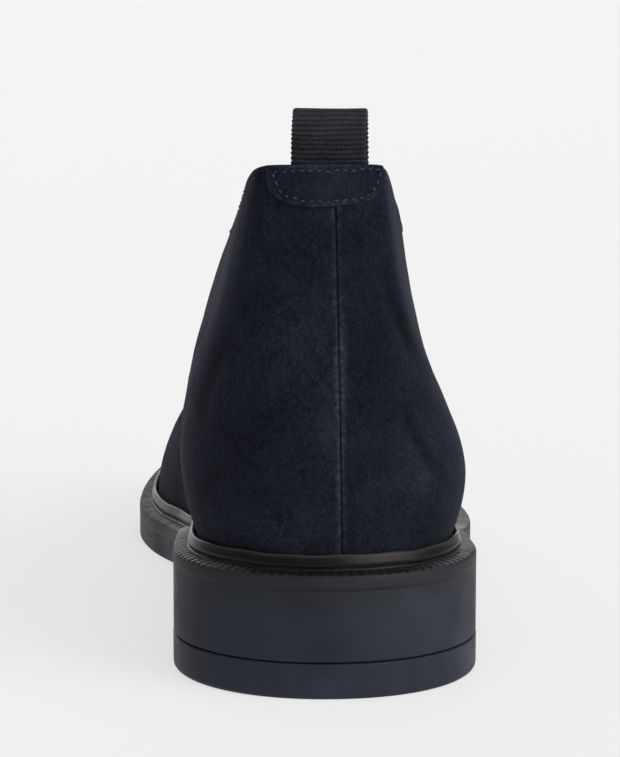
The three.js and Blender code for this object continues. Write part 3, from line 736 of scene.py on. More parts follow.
# Each crease: where it is seen from (the back, the outer side 1 or the inner side -1), its two ends as (x,
# z) at the back and (y, z) at the sides, the width of its trough and its depth.
CREASES = [
    ("back", (12, 110), (23, 80), 2.5, 0.6),
    ("back", (17, 73), (29, 52), 2.3, 0.5),
    ("back", (-25, 90), (-33, 66), 2.4, 0.4),
    ("back", (-24, 60), (-34, 44), 2.6, 0.35),
    (1, (40, 78), (72, 66), 3.4, 0.6),
    (-1, (38, 92), (70, 74), 3.4, 0.55),
    (-1, (36, 70), (66, 56), 4.0, 0.45),
    (1, (84, 96), (112, 74), 3.2, 0.7),
    (-1, (84, 96), (112, 74), 3.2, 0.7),
    (1, (92, 80), (124, 62), 3.4, 0.6),
    (-1, (94, 80), (126, 62), 3.4, 0.6),
    (1, (176, 76), (186, 40), 3.2, 0.7),
    (-1, (178, 76), (190, 40), 3.2, 0.75),
    (1, (190, 71), (202, 38), 3.4, 0.8),
    (-1, (192, 71), (206, 38), 3.4, 0.8),
    (1, (205, 64), (216, 36), 3.4, 0.5),
    (-1, (207, 64), (220, 36), 3.4, 0.5),
]


def on_upper(station, t):
    """A point of the upper's surface and the outward direction there."""
    return rib_point(station, t), rib_normal(station, t)


def folds(point):
    """Height of the suede's wear at a point: broad soft waves, and the creases of the walked-in ankle, each
    a trough along a line with a low ridge on both sides."""
    x, y, z = point[..., 0], point[..., 1], point[..., 2]
    high = smooth_step(z - seat_height(y), 14, 34)
    wave = 0.20 * np.sin(0.105 * x + 0.083 * z + 1.1) * np.sin(0.071 * y - 0.062 * z)
    wave += 0.14 * np.sin(0.19 * z + 0.11 * y + 0.3) * np.sin(0.17 * x - 0.05 * y + 2)
    wave += 0.06 * np.sin(0.37 * z + 0.21 * x) * np.sin(0.31 * y - 0.23 * z + 1)
    total = wave * high
    for view, start, end, width, depth in CREASES:
        if view == "back":
            across, here = x, 1 - smooth_step(y, 28, 50)
        else:
            across, here = y, smooth_step(view * x, 4, 12)
        start, end = np.array(start, float), np.array(end, float)
        line = end - start
        offset = np.stack([across, z], -1) - start
        along = (offset @ line) / (line @ line)
        bow = 1.2 * np.sin(np.pi * np.clip(along, 0, 1))
        off = (offset[..., 0] * line[1] - offset[..., 1] * line[0]) / np.linalg.norm(line) - bow
        fade = smooth_step(along, -0.15, 0.25) * (1 - smooth_step(along, 0.7, 1.15)) * here
        q = off / width
        total = total - depth * (1 - 1.5 * q * q) * np.exp(-q * q) * fade
    return total


# Spots of lighter and darker colour painted on the back's suede, partly lighter nap, such as along the seam,
# and partly painted shade, such as the dark spot beside the upper crease: the middle of the spot (x, z), its
# two radii, and how much lighter (or, below 0, darker) it lies.
NAP_AND_SHADE_SPOTS = [
    (10, 82, 6, 17, -0.7),
    (15, 100, 2.0, 7, 0.5),
    (-13, 86, 9, 12, 0.25),
    (-16, 42, 13, 5, 0.5),
    (22, 58, 5, 9, 0.55),
    (-1.5, 62, 3.0, 22, 0.4),
    (15, 118, 6, 12, -0.4),
    (-9, 112, 9, 11, -0.3),
    (-27, 62, 7, 12, -0.2),
    (28, 42, 9, 6, -0.4),
    (4, 124, 12, 4, 0.2),
    (1.8, 84, 1.3, 12, 1.3),
    (1.4, 56, 0.9, 14, 0.7),
]


def nap_and_crease_shade(point):
    """How light the suede's colour is painted: the spots at the back, and paler on the folds' ridges than in
    their troughs, partly worn nap on the ridges and partly painted shade in the creases.
    """
    x, y, z = point[..., 0], point[..., 1], point[..., 2]
    total = 1.1 * folds(point)
    for middle_x, middle_z, wide, high, amount in NAP_AND_SHADE_SPOTS:
        q = ((x - middle_x) / wide) ** 2 + ((z - middle_z) / high) ** 2
        total = total + amount * np.exp(-q) * (1 - smooth_step(y, 45, 75))
    return total


ROUNDING_STEPS = np.array([0, 0.08, 0.3, 0.62, 1.0, 1.6])


def clustered(count, length, rounding):
    """Even steps from 0 to 1 with fine ones at both ends, where a cut edge of the given radius is rounded
    over a line of the given length."""
    ends = ROUNDING_STEPS * rounding / length
    return np.concatenate([ends, np.linspace(ends[-1], 1 - ends[-1], count)[1:-1], 1 - ends[::-1]])


def distance_in(points, axis):
    """How far each point of a grid is along its line from the line's start, and from its end."""
    step = np.linalg.norm(np.diff(points, axis=axis), axis=-1)
    first = np.zeros_like(np.take(points[..., 0], [0], axis=axis))
    run = np.concatenate([first, np.cumsum(step, axis=axis)], axis=axis)
    return run, np.take(run, [-1], axis=axis) - run


FAR_OFF = 1e3


def sheet_piece(
    name, middle, normal, thickness, material, slot, nodes,
    free=(1, 1, 1, 1), wrap=False, relief=0.0, own_map=None,
):
    """A closed panel from the grid of its middle surface: both faces at half the thickness to either side,
    drawn together in a quarter round along its free edges (start and end of the rows, start and end of the
    columns). An edge that isn't free is one where the grid meets itself. relief adds to the thickness on
    both faces. The map holds lengths along the grid in metres, measured here or given in millimetres."""
    radius = thickness / 2
    borders = [*distance_in(middle, 0), *distance_in(middle, 1)]
    room = np.full(middle.shape[:2], FAR_OFF)
    for is_free, border in zip(free, borders):
        room = np.minimum(room, np.where(is_free, border, FAR_OFF))
    half = radius * np.sqrt(1 - (1 - np.minimum(room / radius, 1)) ** 2)
    half = half + relief * smooth_step(room, 0, radius)
    rows, columns = room.shape
    vertices = np.concatenate([(middle + side * normal * half[..., None]).reshape(-1, 3) for side in (1, -1)])
    faces = [grid_faces(rows, columns, wrap_rows=wrap)]
    faces.append(grid_faces(rows, columns, wrap_rows=wrap, start=rows * columns)[:, ::-1])
    lengths = (borders[0], borders[2]) if own_map is None else own_map
    uv = np.concatenate([np.stack(np.broadcast_arrays(*lengths), -1).reshape(-1, 2) * MM] * 2)
    # The nap mark: lighter nap on ridges and light spots, and painted shade in the creases' troughs and on the
    # dark spots.
    marks = {"edge": np.concatenate([room.ravel()] * 2), "nap": np.concatenate([nap_and_crease_shade(middle).ravel()] * 2)}
    mesh_piece(name, vertices, np.concatenate(faces), material, slot, nodes, uv=uv, marks=marks)


def suede(name, deep, high, nap):
    """Brushed suede: a soft mottle where the nap lies one way or the other, short directed strokes, a fine felt
    of fibres, a pale band along cut edges that is partly lighter fibres and partly a painted highlight, painted
    shade in the creases and on dark spots, and a weak blue sheen at grazing angles."""
    look = Look(name)
    broad = look.noise(34, 4, 0.62)
    patch = look.noise(120, 4, 0.65)
    strokes = look.noise(900, 3, 0.6, stretch=(1.0, 1.0, 0.75))
    felt = look.noise(2000, 2, 0.6)
    tuft = look.noise(260, 5, 0.7)
    colour = look.ramp(broad, [(0.32, deep), (0.68, high)])
    pale = tuple(nap * c for c in high)
    lift = look.ramp(patch, [(0.42, BLACK), (0.72, WHITE)])
    colour = look.mixed(look.times(lift, 0.45), colour, pale)
    grain = look.ramp(strokes, [(0.38, BLACK), (0.72, WHITE)])
    colour = look.mixed(look.times(grain, 0.6), colour, pale)
    # Colour multiplied by the nap mark: painted shade in the creases and on the dark spots, lighter nap on
    # ridges and light spots.
    nap_and_shade_mark = look.mark("nap")
    nap_and_shade_level = look.plus(look.times(nap_and_shade_mark, 0.4), 0.42)
    nap_and_shade_level = look.plus(nap_and_shade_level, look.times(tuft, 0.16))
    shade = look.ramp(nap_and_shade_level, [(0.1, grey(0.5)), (0.5, WHITE), (0.9, (2.0, 1.95, 1.85))])
    colour = look.mixed(1.0, colour, shade, blend="MULTIPLY")
    speck = look.ramp(felt, [(0.3, grey(0.5)), (0.7, grey(1.5))])
    colour = look.mixed(0.9, colour, speck, blend="MULTIPLY")
    # A pale band just inside the cut edges, frayed by noise: partly lighter cut fibres, partly a painted
    # highlight along the rims, fainter where the nap mark paints shade.
    edge = look.times(look.mark("edge"), 0.6)
    rim = look.ramp(edge, [(0, grey(0.1)), (0.24, WHITE), (1.0, BLACK)])
    frayed = look.ramp(look.noise(650, 4, 0.7), [(0.45, BLACK), (0.62, WHITE)])
    rim = look.times(rim, look.plus(frayed, 0.1))
    rim_by_nap_and_shade = look.plus(look.times(nap_and_shade_mark, 0.6), 0.45)
    colour = look.mixed(look.times(rim, rim_by_nap_and_shade), colour, tuple(2.6 * c for c in pale))
    look.set("Base Color", colour)
    look.set("Roughness", 0.92)
    look.set("Specular IOR Level", 0.06)
    look.set("Sheen Weight", 0.08)
    look.set("Sheen Roughness", 0.42)
    look.set("Sheen Tint", (0.5, 0.56, 0.74))
    soft = look.bump(patch, 0.22, 0.0009)
    combed = look.bump(strokes, 0.42, 0.0004, soft)
    look.set("Normal", look.bump(felt, 0.3, 0.00018, combed))
    return look.material


upper_suede = suede("midnight suede", (0.0030, 0.0035, 0.0059), (0.0070, 0.0084, 0.0134), 1.85)

# How far a quarter's front edge reaches, as a station for each height t.
FRONT_EDGE = dict(
    t=[-0.1, 0, 0.2, 0.4, 0.6, 0.8, 0.87, 0.93, 1],
    s=[0.478, 0.48, 0.498, 0.518, 0.538, 0.551, 0.554, 0.552, 0.541],
)
front_edge = curve_through(FRONT_EDGE["t"], FRONT_EDGE["s"])
QUARTER_WALL, VAMP_WALL, LINING_WALL = 1.05, 1.1, 0.75
# How far a quarter's outer face stands off the surface, how much more where it lies on the vamp, and how
# far back from its front edge it starts and ends to rise.
OUTER_FACE, VAMP_LIFT, LIFT_START, LIFT_END = 0.1, 0.75, 0.07, 0.012
NOTCH_AT, NOTCH_SPAN = 0.884, 0.0055
SEAM_GAP, NOTCH_GAP = 0.00035, 0.0009
# How deep the suede dips into the back seam, over what span, and the t where the tab covers it.
SEAM_DIP, DIP_SPAN, TAB_COVER = 0.22, 0.006, 0.97


def seam_gap(t):
    """Half the gap between the quarters at the back seam: a hair, but wider in the notch below the tab."""
    return SEAM_GAP + NOTCH_GAP * np.exp(-(((t - NOTCH_AT) / NOTCH_SPAN) ** 2))


def seam_station(t):
    """The back seam leans a little to the outer side on its way down, as a station for each height t."""
    x = 1.9 - 1.5 * np.clip(t, 0, 1)
    return x / ((rib_point(0.02, t) - rib_point(0, t))[..., 0] / 0.02)


def quarter_offset(station, t):
    """How far a quarter's outer face stands off the surface: flush at the heel, lifted over the vamp."""
    s, _ = side_of(station)
    lifted = smooth_step(s, front_edge(t) - LIFT_START, front_edge(t) - LIFT_END)
    return OUTER_FACE + VAMP_LIFT * lifted * smooth_step(t, -0.1, 0.05)


def quarter(name, outer):
    """One quarter, from the back seam to its front edge and from behind the welt to collar and facing."""
    u = clustered(176, 190, QUARTER_WALL / 2)[:, None]
    t = -SKIRT_SPAN + (1 + SKIRT_SPAN) * clustered(84, 112, QUARTER_WALL / 2)[None, :]
    if outer:
        low, high = seam_station(t) + seam_gap(t), front_edge(t)
    else:
        low, high = -front_edge(t), seam_station(t) - seam_gap(t)
    station = low + (high - low) * u
    t = t + 0 * station
    point, normal = on_upper(station, t)
    seam = np.abs(station - seam_station(t)) / DIP_SPAN
    dip = -SEAM_DIP * np.exp(-seam) * (t < TAB_COVER)
    rise = quarter_offset(station, t) - QUARTER_WALL / 2 + folds(point) + dip
    sheet_piece(name, point + normal * rise[..., None], normal, QUARTER_WALL, upper_suede, "suede", ["upper"])


quarter("quarter_outer", True)
quarter("quarter_inner", False)

# How far the vamp goes on under the quarters, in stations, and how much deeper it lies there.
VAMP_TUCK, VAMP_SINK = 0.02, 0.85


def vamp():
    """The vamp, one panel from under the outer quarter round the toe to under the inner one. Its top edge
    is free only in the throat, and further on both sides meet along the ridge."""
    u = clustered(270, 360, VAMP_WALL / 2)[:, None]
    t = -SKIRT_SPAN + (1 + SKIRT_SPAN) * clustered(66, 100, VAMP_WALL / 2)[None, :]
    low = front_edge(t) - VAMP_TUCK
    station = low + (1 - low) * 2 * np.minimum(u, 1 - u)
    station = np.where(u <= 0.5, station, 2 - station)
    t = t + 0 * station
    s, _ = side_of(station)
    point, normal = on_upper(station, t)
    under = 1 - smooth_step(s, front_edge(t) - 0.004, front_edge(t) + 0.03)
    rise = -VAMP_WALL / 2 - VAMP_SINK * under + folds(point)
    middle = point + normal * rise[..., None]
    ridge = (s[:, -1] >= THROAT_END)[:, None]
    middle[:, -1] = np.where(ridge, (middle[:, -1] + middle[::-1, -1]) / 2, middle[:, -1])
    free = (True, True, True, s < THROAT_END)
    sheet_piece("vamp", middle, normal, VAMP_WALL, upper_suede, "suede", ["upper"], free=free)


vamp()


def lining_leather():
    """Black calf lining: smooth, with fine pores."""
    look = Look("black calf lining")
    colour = look.ramp(look.noise(60, 4, 0.6), [(0.3, (0.010, 0.010, 0.011)), (0.75, (0.019, 0.019, 0.021))])
    look.set("Base Color", colour)
    look.set("Roughness", 0.6)
    look.set("Specular IOR Level", 0.2)
    look.set("Normal", look.bump(look.noise(1500, 3, 0.6), 0.25, 0.0002))
    return look.material


LINING_SKIRT, LINING_DROP = 0.06, 0.006
LINING_DEPTH, LINING_SINK = 1.0, 0.35


def lining():
    """The lining, one sheet round the inside of the boot, a little lower than the suede at the collar."""
    half_round = np.linspace(0, 1, 150)
    station = np.concatenate([half_round, 2 - half_round[-2:0:-1]])[:, None]
    t = -LINING_SKIRT + (1 + LINING_SKIRT) * clustered(60, 100, LINING_WALL / 2)[None, :]
    s, _ = side_of(station)
    t = t - LINING_DROP * smooth_step(t, 0.9, 1) * (s < THROAT_END)
    station = station + 0 * t
    point, normal = on_upper(station, t)
    sink = LINING_SINK * smooth_step(s, 0.46, 0.53) * smooth_step(t, 0, 0.1)
    rise = folds(point) - LINING_DEPTH - LINING_WALL / 2 - sink
    middle = point + normal * rise[..., None]
    free = (False, False, True, (s < THROAT_END) + 0 * t > 0)
    leather = lining_leather()
    sheet_piece("calf_lining", middle, normal, LINING_WALL, leather, "suede", ["upper"], free=free, wrap=True)


lining()

# ------------------------------------------------------------------------------
# The heel tab: a half-moon of the same suede laid over the top of the back seam, a little deeper on its
# inner side. It is stitched down all round, close to its edge.

TAB_MIDDLE, TAB_HALF = 0.006, 0.113
TAB_DEPTH = 0.092
TAB_TILT = 0.2
TAB_POWER = 2.5
TAB_WALL = 0.75
TAB_STAND_OFF = 0.1
TAB_RADIUS = 13
TAB_TOP = 1.004


def tab_outline(angle, shrink=1.0):
    """The tab's rounded edge, at an angle from the inner end of its top (0) to the outer end (pi)."""
    across, down = -np.cos(angle), np.sin(angle)
    power = 2 / TAB_POWER
    return shrink * np.sign(across) * np.abs(across) ** power, shrink * np.abs(down) ** power


def on_tab(across, down):
    """Station and height t of a place on the tab, from -1 to 1 across it and 0 to 1 down it."""
    return TAB_MIDDLE + TAB_HALF * across, TAB_TOP - TAB_DEPTH * down * (1 - TAB_TILT * across)


angle = np.pi * clustered(90, 45, TAB_WALL / 2)[:, None]
rounding = 1 - (ROUNDING_STEPS * TAB_WALL / 2 / TAB_RADIUS)[::-1]
shrink = np.concatenate([np.linspace(0, 0.93, 22), rounding])[None, :]
across, down = tab_outline(angle)
station, t = on_tab(across * shrink, down * shrink)
point, normal = on_upper(station, t)
tab_rise = TAB_STAND_OFF + TAB_WALL / 2 + folds(point)
middle = point + normal * tab_rise[..., None]
sheet_piece("heel_tab", middle, normal, TAB_WALL, upper_suede, "suede", ["upper"], free=(1, 1, 0, 1))

# ------------------------------------------------------------------------------
# The seams' stitches: waxed thread a shade lighter than the suede. One row follows the collar and the
# facings, one the tab's edge and top, and two hold each quarter's front edge down on the vamp.

STITCH_LENGTH, STITCH_PITCH, THREAD = 1.35, 2.05, 0.46
SIDE_SLIP, LENGTH_SPREAD = 0.12, (0.7, 1.15)
# Where the seams run, as stations or heights t, and how far in from the edge.
COLLAR_SEAM, COLLAR_IN = (0.128, 0.444), 2.7
FACING_SEAM, FACING_IN, FACING_T = (0.456, 0.548), 2.6, 0.97
FRONT_SEAM, FRONT_IN = (0.03, 0.955), (1.9, 4.0)
TAB_SEAM, TAB_SHRINK, TAB_SEAM_TOP = 0.04, 0.875, 0.18
hand = np.random.default_rng(11)


def surface_path(station, t, height):
    """A line on the upper, height above it, with the directions off the surface."""
    point, normal = on_upper(station, t)
    return point + normal * (np.asarray(height) + folds(point))[..., None], normal


def inset_from_top(station, distance):
    """The height t that lies a distance below the top line."""
    length = np.linalg.norm(rib_point(station, 1) - rib_point(station, 0.98), axis=-1)
    return 1 - 0.02 * distance / length


def repeated_faces(one, count, size):
    """The faces of count like bodies, each of size vertices, from the faces of the first."""
    return ((np.arange(count) * size)[:, None, None] + one[None]).reshape(-1, 4)


def joined(bodies):
    """Bodies of vertices, faces and perhaps a map as one body, whose faces count on through all vertices."""
    starts = np.cumsum([0] + [len(body[0]) for body in bodies])
    bodies = [(body[0], body[1] + start, *body[2:]) for body, start in zip(bodies, starts)]
    return [np.concatenate(column) for column in zip(*bodies)]


def stitches(name, paths):
    """Rows of stitches along paths, each a spindle of thread that dips into the leather at both ends."""
    bodies = []
    q = np.linspace(-1, 1, 7)
    turn = np.linspace(0, 2 * np.pi, 7)[:-1]
    for line, off in paths:
        length = length_along(line)
        count = int(length[-1] / STITCH_PITCH)
        at = (np.arange(count) + 0.5) / count * length[-1]
        along = unit(sampled(line, length, at + 0.5) - sampled(line, length, at - 0.5))
        up = sampled(off, length, at)
        side = unit(np.cross(along, up))
        radius = THREAD / 2 * np.sqrt(np.maximum(1 - q**4, 0))
        raised = 0.16 * (1 - q * q) - 0.08
        centre = sampled(line, length, at) + side * hand.normal(0, SIDE_SLIP, (count, 1))
        half_length = STITCH_LENGTH / 2 * hand.uniform(*LENGTH_SPREAD, (count, 1))
        spine = centre[:, None, :] + along[:, None, :] * (q * half_length)[..., None]
        spine = spine + up[:, None, :] * raised[None, :, None]
        ring = np.cos(turn)[:, None] * side[:, None, None, :] + np.sin(turn)[:, None] * up[:, None, None, :]
        vertices = spine[:, :, None, :] + ring * radius[None, :, None, None]
        one = grid_faces(len(q), len(turn), wrap_columns=True)
        bodies.append((vertices.reshape(-1, 3), repeated_faces(one, count, len(q) * len(turn))))
    mesh_piece(name, *joined(bodies), thread, "suede", ["upper"])


def waxed_thread():
    """Navy waxed thread with a faint twist."""
    look = Look("navy waxed thread")
    twist = look.noise(450, 2, 0.6)
    look.set("Base Color", look.ramp(twist, [(0.3, (0.012, 0.014, 0.026)), (0.7, (0.040, 0.046, 0.078))]))
    look.set("Roughness", 0.6)
    look.set("Specular IOR Level", 0.25)
    return look.material


thread = waxed_thread()
seam_run = np.linspace(0, 1, 400)


def along_seam(ends):
    """Even steps from one end of a seam to the other."""
    return ends[0] + (ends[1] - ends[0]) * seam_run


seams = []
for side in (1, -1):
    collar = side * along_seam(COLLAR_SEAM)
    seams.append(surface_path(collar, inset_from_top(collar, COLLAR_IN), OUTER_FACE))
    facing = along_seam(FACING_SEAM)
    lifted = quarter_offset(facing, FACING_T)
    seams.append(surface_path(side * facing, inset_from_top(side * facing, FACING_IN), lifted))
    for distance in FRONT_IN:
        t = along_seam(FRONT_SEAM)
        front = front_edge(t)
        step = np.linalg.norm(rib_point(side * front, t) - rib_point(side * (front - 0.01), t), axis=-1)
        station = side * (front - 0.01 * distance / step)
        seams.append(surface_path(station, t, quarter_offset(station, t)))
stitches("quarter_stitches", seams)

round_tab = tab_outline(np.pi * (TAB_SEAM + (1 - 2 * TAB_SEAM) * seam_run), TAB_SHRINK)
over_tab = (-0.9 + 1.8 * seam_run, TAB_SEAM_TOP + 0 * seam_run)
tab_seams = [surface_path(*on_tab(*line), TAB_STAND_OFF + TAB_WALL) for line in (round_tab, over_tab)]
stitches("tab_stitches", tab_seams)

# ------------------------------------------------------------------------------
# The tongue: one thick piece of suede under the facings, sewn to the vamp at the throat and free at the
# top. It lies on the closed instep: the facings' own surface, and between them a shallow crown.

CROWN = 1.2
TONGUE_WALL, TONGUE_DEPTH = 2.0, 2.6
HALVINGS = 22


def instep_point(s, x):
    """The closed instep at station s and distance x from the middle, found on the rib by halving."""
    s, x = np.broadcast_arrays(np.asarray(s, float), np.asarray(x, float))
    station = np.where(x < 0, 2 - s, s)
    edge = top_point(station)
    reach, half = np.abs(x), np.abs(edge[..., 0])
    low, high = np.full(s.shape, 0.3), np.ones(s.shape)
    for _ in range(HALVINGS):
        mean = (low + high) / 2
        beyond = np.abs(rib_point(station, mean)[..., 0]) > reach
        low, high = np.where(beyond, mean, low), np.where(beyond, high, mean)
    rib = rib_point(station, high)
    share = np.minimum(reach / np.maximum(half, 1e-6), 1)
    crown = np.stack([x, edge[..., 1], edge[..., 2] + CROWN * (1 - share**2)], -1)
    return np.where((reach < half)[..., None], crown, rib)


def instep_offset(s, x, height):
    """A point above the closed instep, or below it for a negative height, and the direction off it."""
    along = instep_point(s + 0.003, x) - instep_point(s - 0.003, x)
    across = instep_point(s, x + 1.5) - instep_point(s, x - 1.5)
    normal = unit(np.cross(across, along))
    return instep_point(s, x) + normal * np.asarray(height)[..., None], normal


# Rows down the tongue: station, half width, how far the free end stands out of the boot, how much deeper it
# lies.
TONGUE = dict(
    s=[0.462, 0.462, 0.462, 0.462, 0.475, 0.49, 0.51, 0.53, 0.55, 0.57, 0.59, 0.61],
    half=[4.5, 7.5, 9.5, 12, 16.5, 19.5, 20, 20, 19.5, 18.5, 17, 14],
    lift=[8, 7, 4.5, 1.5, 0, 0, 0, 0, 0, 0, 0, 0],
    sink=[0.8, 0.8, 0.8, 0.8, 0.6, 0.2, 0.2, 0.4, 1, 1.4, 1.4, 1.2],
)
tongue_rows = len(TONGUE["s"])
row = clustered(70, 78, TONGUE_WALL / 2)[:, None] * (tongue_rows - 1)
tongue_at = {key: np.interp(row, np.arange(tongue_rows), values) for key, values in TONGUE.items()}
across = (1 - 2 * clustered(44, 30, TONGUE_WALL / 2))[None, :]
depth = -TONGUE_DEPTH - tongue_at["sink"] + 0 * across
place, normal = instep_offset(tongue_at["s"] + 0 * across, tongue_at["half"] * across, depth)
place = place + tongue_at["lift"][..., None] * np.array([0, -0.62, 0.78])
middle = place - normal * TONGUE_WALL / 2
sheet_piece("tongue_leaf", middle[:, ::-1], normal[:, ::-1], TONGUE_WALL, upper_suede, "suede", ["tongue"])

# ------------------------------------------------------------------------------
# The eyelets and the lace: three pairs of small dark eyelets in the facings, and a round waxed cotton lace
# that runs straight over the lowest pair and crosses twice on its way up. Its ends stop in the top eyelets.

EYELET_X = 15.5
EYELET_STATIONS = (0.466, 0.5, 0.534)
EYELET_SIDES = 28
LACE_RADIUS, LACE_SIDES = 1.35, 20
WEAVE_DEPTH, WEAVE_TURN = 0.035, 3.4


def enamel():
    """Black enamelled metal, worn a little."""
    look = Look("black enamelled eyelet")
    wear = look.noise(500, 3, 0.6)
    look.set("Base Color", look.ramp(wear, [(0.4, grey(0.012)), (0.8, grey(0.035))]))
    look.set("Metallic", 0.6)
    look.set("Roughness", 0.38)
    return look.material


eyelet_s = np.repeat(EYELET_STATIONS, 2)
eyelet_x = np.tile([EYELET_X, -EYELET_X], 3)
centre, up = instep_offset(eyelet_s, eyelet_x, 0.1 * np.ones(6))
first = unit(np.cross(up, [0, 1, 0]))
second = np.cross(up, first)
turn = np.linspace(0, 2 * np.pi, EYELET_SIDES + 1)[:-1]
# The rolled rim, from the foot outside over the roll and down into the dark hole, whose floor closes it.
section_r = np.array([2.9, 2.9, 2.75, 2.45, 2.1, 1.8, 1.65, 1.6, 0.9, 0])
section_h = np.array([-0.4, 0.75, 1.15, 1.32, 1.32, 1.15, 0.85, 0.3, 0.22, 0.2])
circle = np.cos(turn)[None, :, None] * first[:, None, :] + np.sin(turn)[None, :, None] * second[:, None, :]
rim = centre[:, None, None, :] + circle[:, :, None, :] * section_r[None, None, :, None]
rim = rim + up[:, None, None, :] * section_h[None, None, :, None]
one = grid_faces(len(turn), len(section_r), wrap_rows=True)
faces = repeated_faces(one, len(centre), len(turn) * len(section_r))
mesh_piece("eyelets", rim.reshape(-1, 3), faces, enamel(), "lace_cotton", ["lace"], smooth_angle=60)


def cord(path):
    """The lace along a path, its ends closed: vertices, faces and map, with u round it and v along it."""
    along = unit(np.gradient(path, axis=0))
    side = unit(np.cross(along, [0, 0.3, 1.0]))
    up = np.cross(side, along)
    turn = np.linspace(0, 2 * np.pi, LACE_SIDES + 1)[None, :]
    length = length_along(path)[:, None]
    weave = 1 + WEAVE_DEPTH * np.sin(3 * turn + length * WEAVE_TURN) * np.sin(3 * turn - length * WEAVE_TURN)
    taper = np.ones((len(path), 1))
    taper[[0, -1]] = 0
    ring = np.cos(turn)[..., None] * side[:, None, :] + np.sin(turn)[..., None] * up[:, None, :]
    vertices = path[:, None, :] + ring * (LACE_RADIUS * weave * taper)[..., None]
    uv = np.stack(np.broadcast_arrays(turn * LACE_RADIUS * MM, length * MM), -1)
    faces = grid_faces(len(path), LACE_SIDES + 1)
    return vertices.reshape(-1, 3), faces, uv.reshape(-1, 2)


BRAID_TURNS = 4800


def lace_cotton():
    """Black-navy waxed cotton, braided: a herringbone of two crossing waves in the cord's own map."""
    look = Look("waxed cotton lace")
    u, v = look.uv()
    one = look.calculate("SINE", look.times(look.plus(u, v), BRAID_TURNS))
    other = look.calculate("SINE", look.times(look.calculate("SUBTRACT", u, v), BRAID_TURNS))
    braid = look.calculate("MAXIMUM", one, other)
    colour = look.ramp(braid, [(0.0, (0.004, 0.005, 0.009)), (0.9, (0.014, 0.016, 0.026))])
    look.set("Base Color", colour)
    look.set("Roughness", 0.62)
    look.set("Normal", look.bump(braid, 0.5, 0.00025))
    return look.material


def smooth_path(marks, count=90):
    """A smooth line through marks, dense enough for a cord."""
    at = np.arange(len(marks))
    fine = np.linspace(0, len(marks) - 1, count)
    return np.stack([curve_through(at, marks[:, k])(fine) for k in range(3)], -1)


def lace_run(start, end, side, over):
    """Marks of one run from an eyelet on one side to one on the other, out of the first and into the last."""
    share = np.array([0, 0.0, 0.06, 0.25, 0.5, 0.75, 0.94, 1.0, 1])
    x = side * EYELET_X * np.array([-1, -0.99, -0.88, -0.5, 0, 0.5, 0.88, 0.99, 1])
    height = np.array([0.5, 1.4, 2.5, 2.9 + over / 2, 2.9 + over, 2.9 + over / 2, 2.5, 1.4, 0.5])
    return instep_offset(start + (end - start) * share, x, height)[0]


top_pair, middle_pair, lowest_pair = EYELET_STATIONS
runs = [
    lace_run(lowest_pair, lowest_pair, 1, -0.4),
    lace_run(lowest_pair, middle_pair, 1, 1.3),
    lace_run(lowest_pair, middle_pair, -1, -1.2),
    lace_run(middle_pair, top_pair, 1, -1.2),
    lace_run(middle_pair, top_pair, -1, 1.3),
]
vertices, faces, uv = joined([cord(smooth_path(marks)) for marks in runs])
mesh_piece("lace_runs", vertices, faces[:, ::-1], lace_cotton(), "lace_cotton", ["lace"], uv=uv)

# ------------------------------------------------------------------------------
# The pull loop: black ribbed webbing folded over and sewn inside the collar, so that it stands up behind
# the ankle. Its weft makes ribs across it, and its front leg shows a little past the back one on the outer
# side.

LOOP_WIDTH, LOOP_X, LOOP_WALL, LOOP_RISE, LOOP_TUCK = 19.0, -0.8, 1.4, 13.7, 11.0
LOOP_BEND = 0.016
WEFT_PITCH, YARN_METRES = 1.22, 0.00052
COLLAR_TOP = 133.6
loop_y = [14.8, 14.4, 13.8, 12.4, 12.7, 15, 17.6, 18.2, 17.2, 17, 17.4]
loop_rise = [-LOOP_TUCK, -3, 3, LOOP_RISE * 0.55, LOOP_RISE * 0.85, LOOP_RISE]
loop_rise = loop_rise + [LOOP_RISE * 0.85, LOOP_RISE * 0.55, 3, -3, -LOOP_TUCK]
marks = np.stack([np.zeros(len(loop_y)), loop_y, COLLAR_TOP + np.array(loop_rise)], -1)
coarse = smooth_path(marks, 900)
length = length_along(coarse)
run = length[-1] * clustered(400, length[-1], LOOP_WALL / 2)
path = sampled(coarse, length, run)
along = np.gradient(path, axis=0)
off = unit(np.stack([0 * run, -along[:, 2], along[:, 1]], -1))
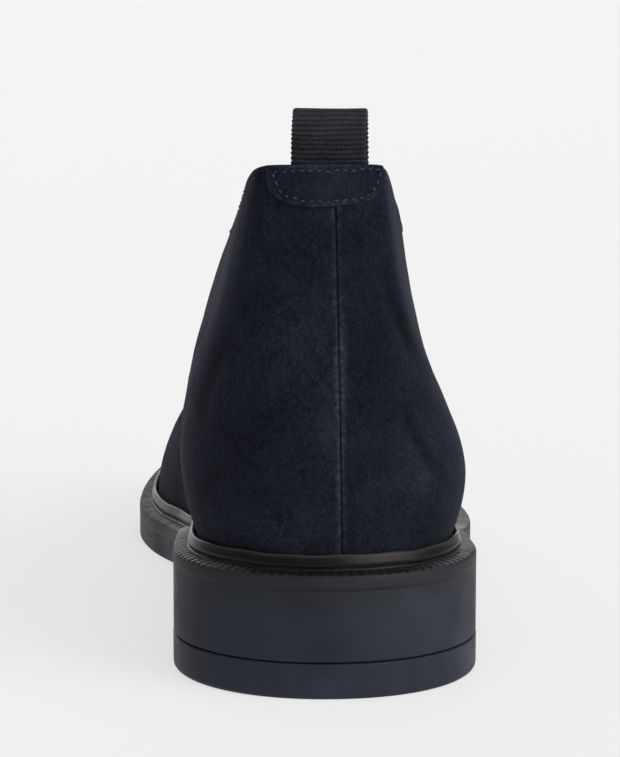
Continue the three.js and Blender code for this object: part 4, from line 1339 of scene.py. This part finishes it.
across = (2 * clustered(56, LOOP_WIDTH, LOOP_WALL / 2) - 1)[None, :]
rib = np.cos(2 * np.pi * run / WEFT_PITCH)[:, None]
slip = smooth_step(run, 0.35 * length[-1], 0.62 * length[-1])[:, None] - 0.1
x = across * (LOOP_WIDTH / 2 - 0.25 + 0.13 * rib) + LOOP_X + slip
middle = np.broadcast_to(path[:, None, :], (len(run), across.size, 3)).copy()
middle[..., 0] = x
middle[..., 1] += LOOP_BEND * (x - LOOP_X) ** 2
normal = np.broadcast_to(off[:, None, :], middle.shape)
fabric_wave = 0.16 * np.sin(run / 7.3)[:, None] * np.sin(2.2 * across + 0.6)
middle = middle + normal * (fabric_wave - LOOP_WALL / 2)[..., None]


def ribbed_webbing():
    """Black polyester webbing: each weft rib is a row of short yarn ticks, shifted from row to row."""
    look = Look("black ribbed webbing")
    along, over = look.uv()
    row = look.calculate("DIVIDE", along, WEFT_PITCH * MM)
    row = look.plus(row, look.times(look.noise(170, 3, 0.6), 0.7))
    shift = look.times(look.calculate("FLOOR", row), 2.4)
    wobble = look.times(look.noise(600, 2), 3)
    phase = look.plus(look.times(over, 2 * math.pi / YARN_METRES), shift)
    tick = look.calculate("SINE", look.plus(phase, wobble))
    hump = look.calculate("COSINE", look.times(row, 2 * math.pi))
    height = look.plus(look.times(tick, 1.1), look.times(hump, 0.75))
    worn = look.times(look.noise(420, 4, 0.7), 0.5)
    shade = look.plus(look.times(height, 0.22), look.plus(worn, 0.2))
    stops = [(0.15, (0.0015, 0.002, 0.0028)), (0.5, (0.012, 0.0136, 0.0182)), (0.8, (0.054, 0.060, 0.074))]
    look.set("Base Color", look.ramp(shade, stops))
    look.set("Roughness", 0.7)
    look.set("Specular IOR Level", 0.25)
    look.set("Normal", look.bump(height, 0.8, 0.0002))
    return look.material


sheet_piece(
    "pull_loop_webbing",
    middle,
    normal,
    LOOP_WALL,
    ribbed_webbing(),
    "webbing",
    ["pull_loop"],
    relief=0.08 * rib,
    own_map=(run[:, None], across * LOOP_WIDTH / 2),
)
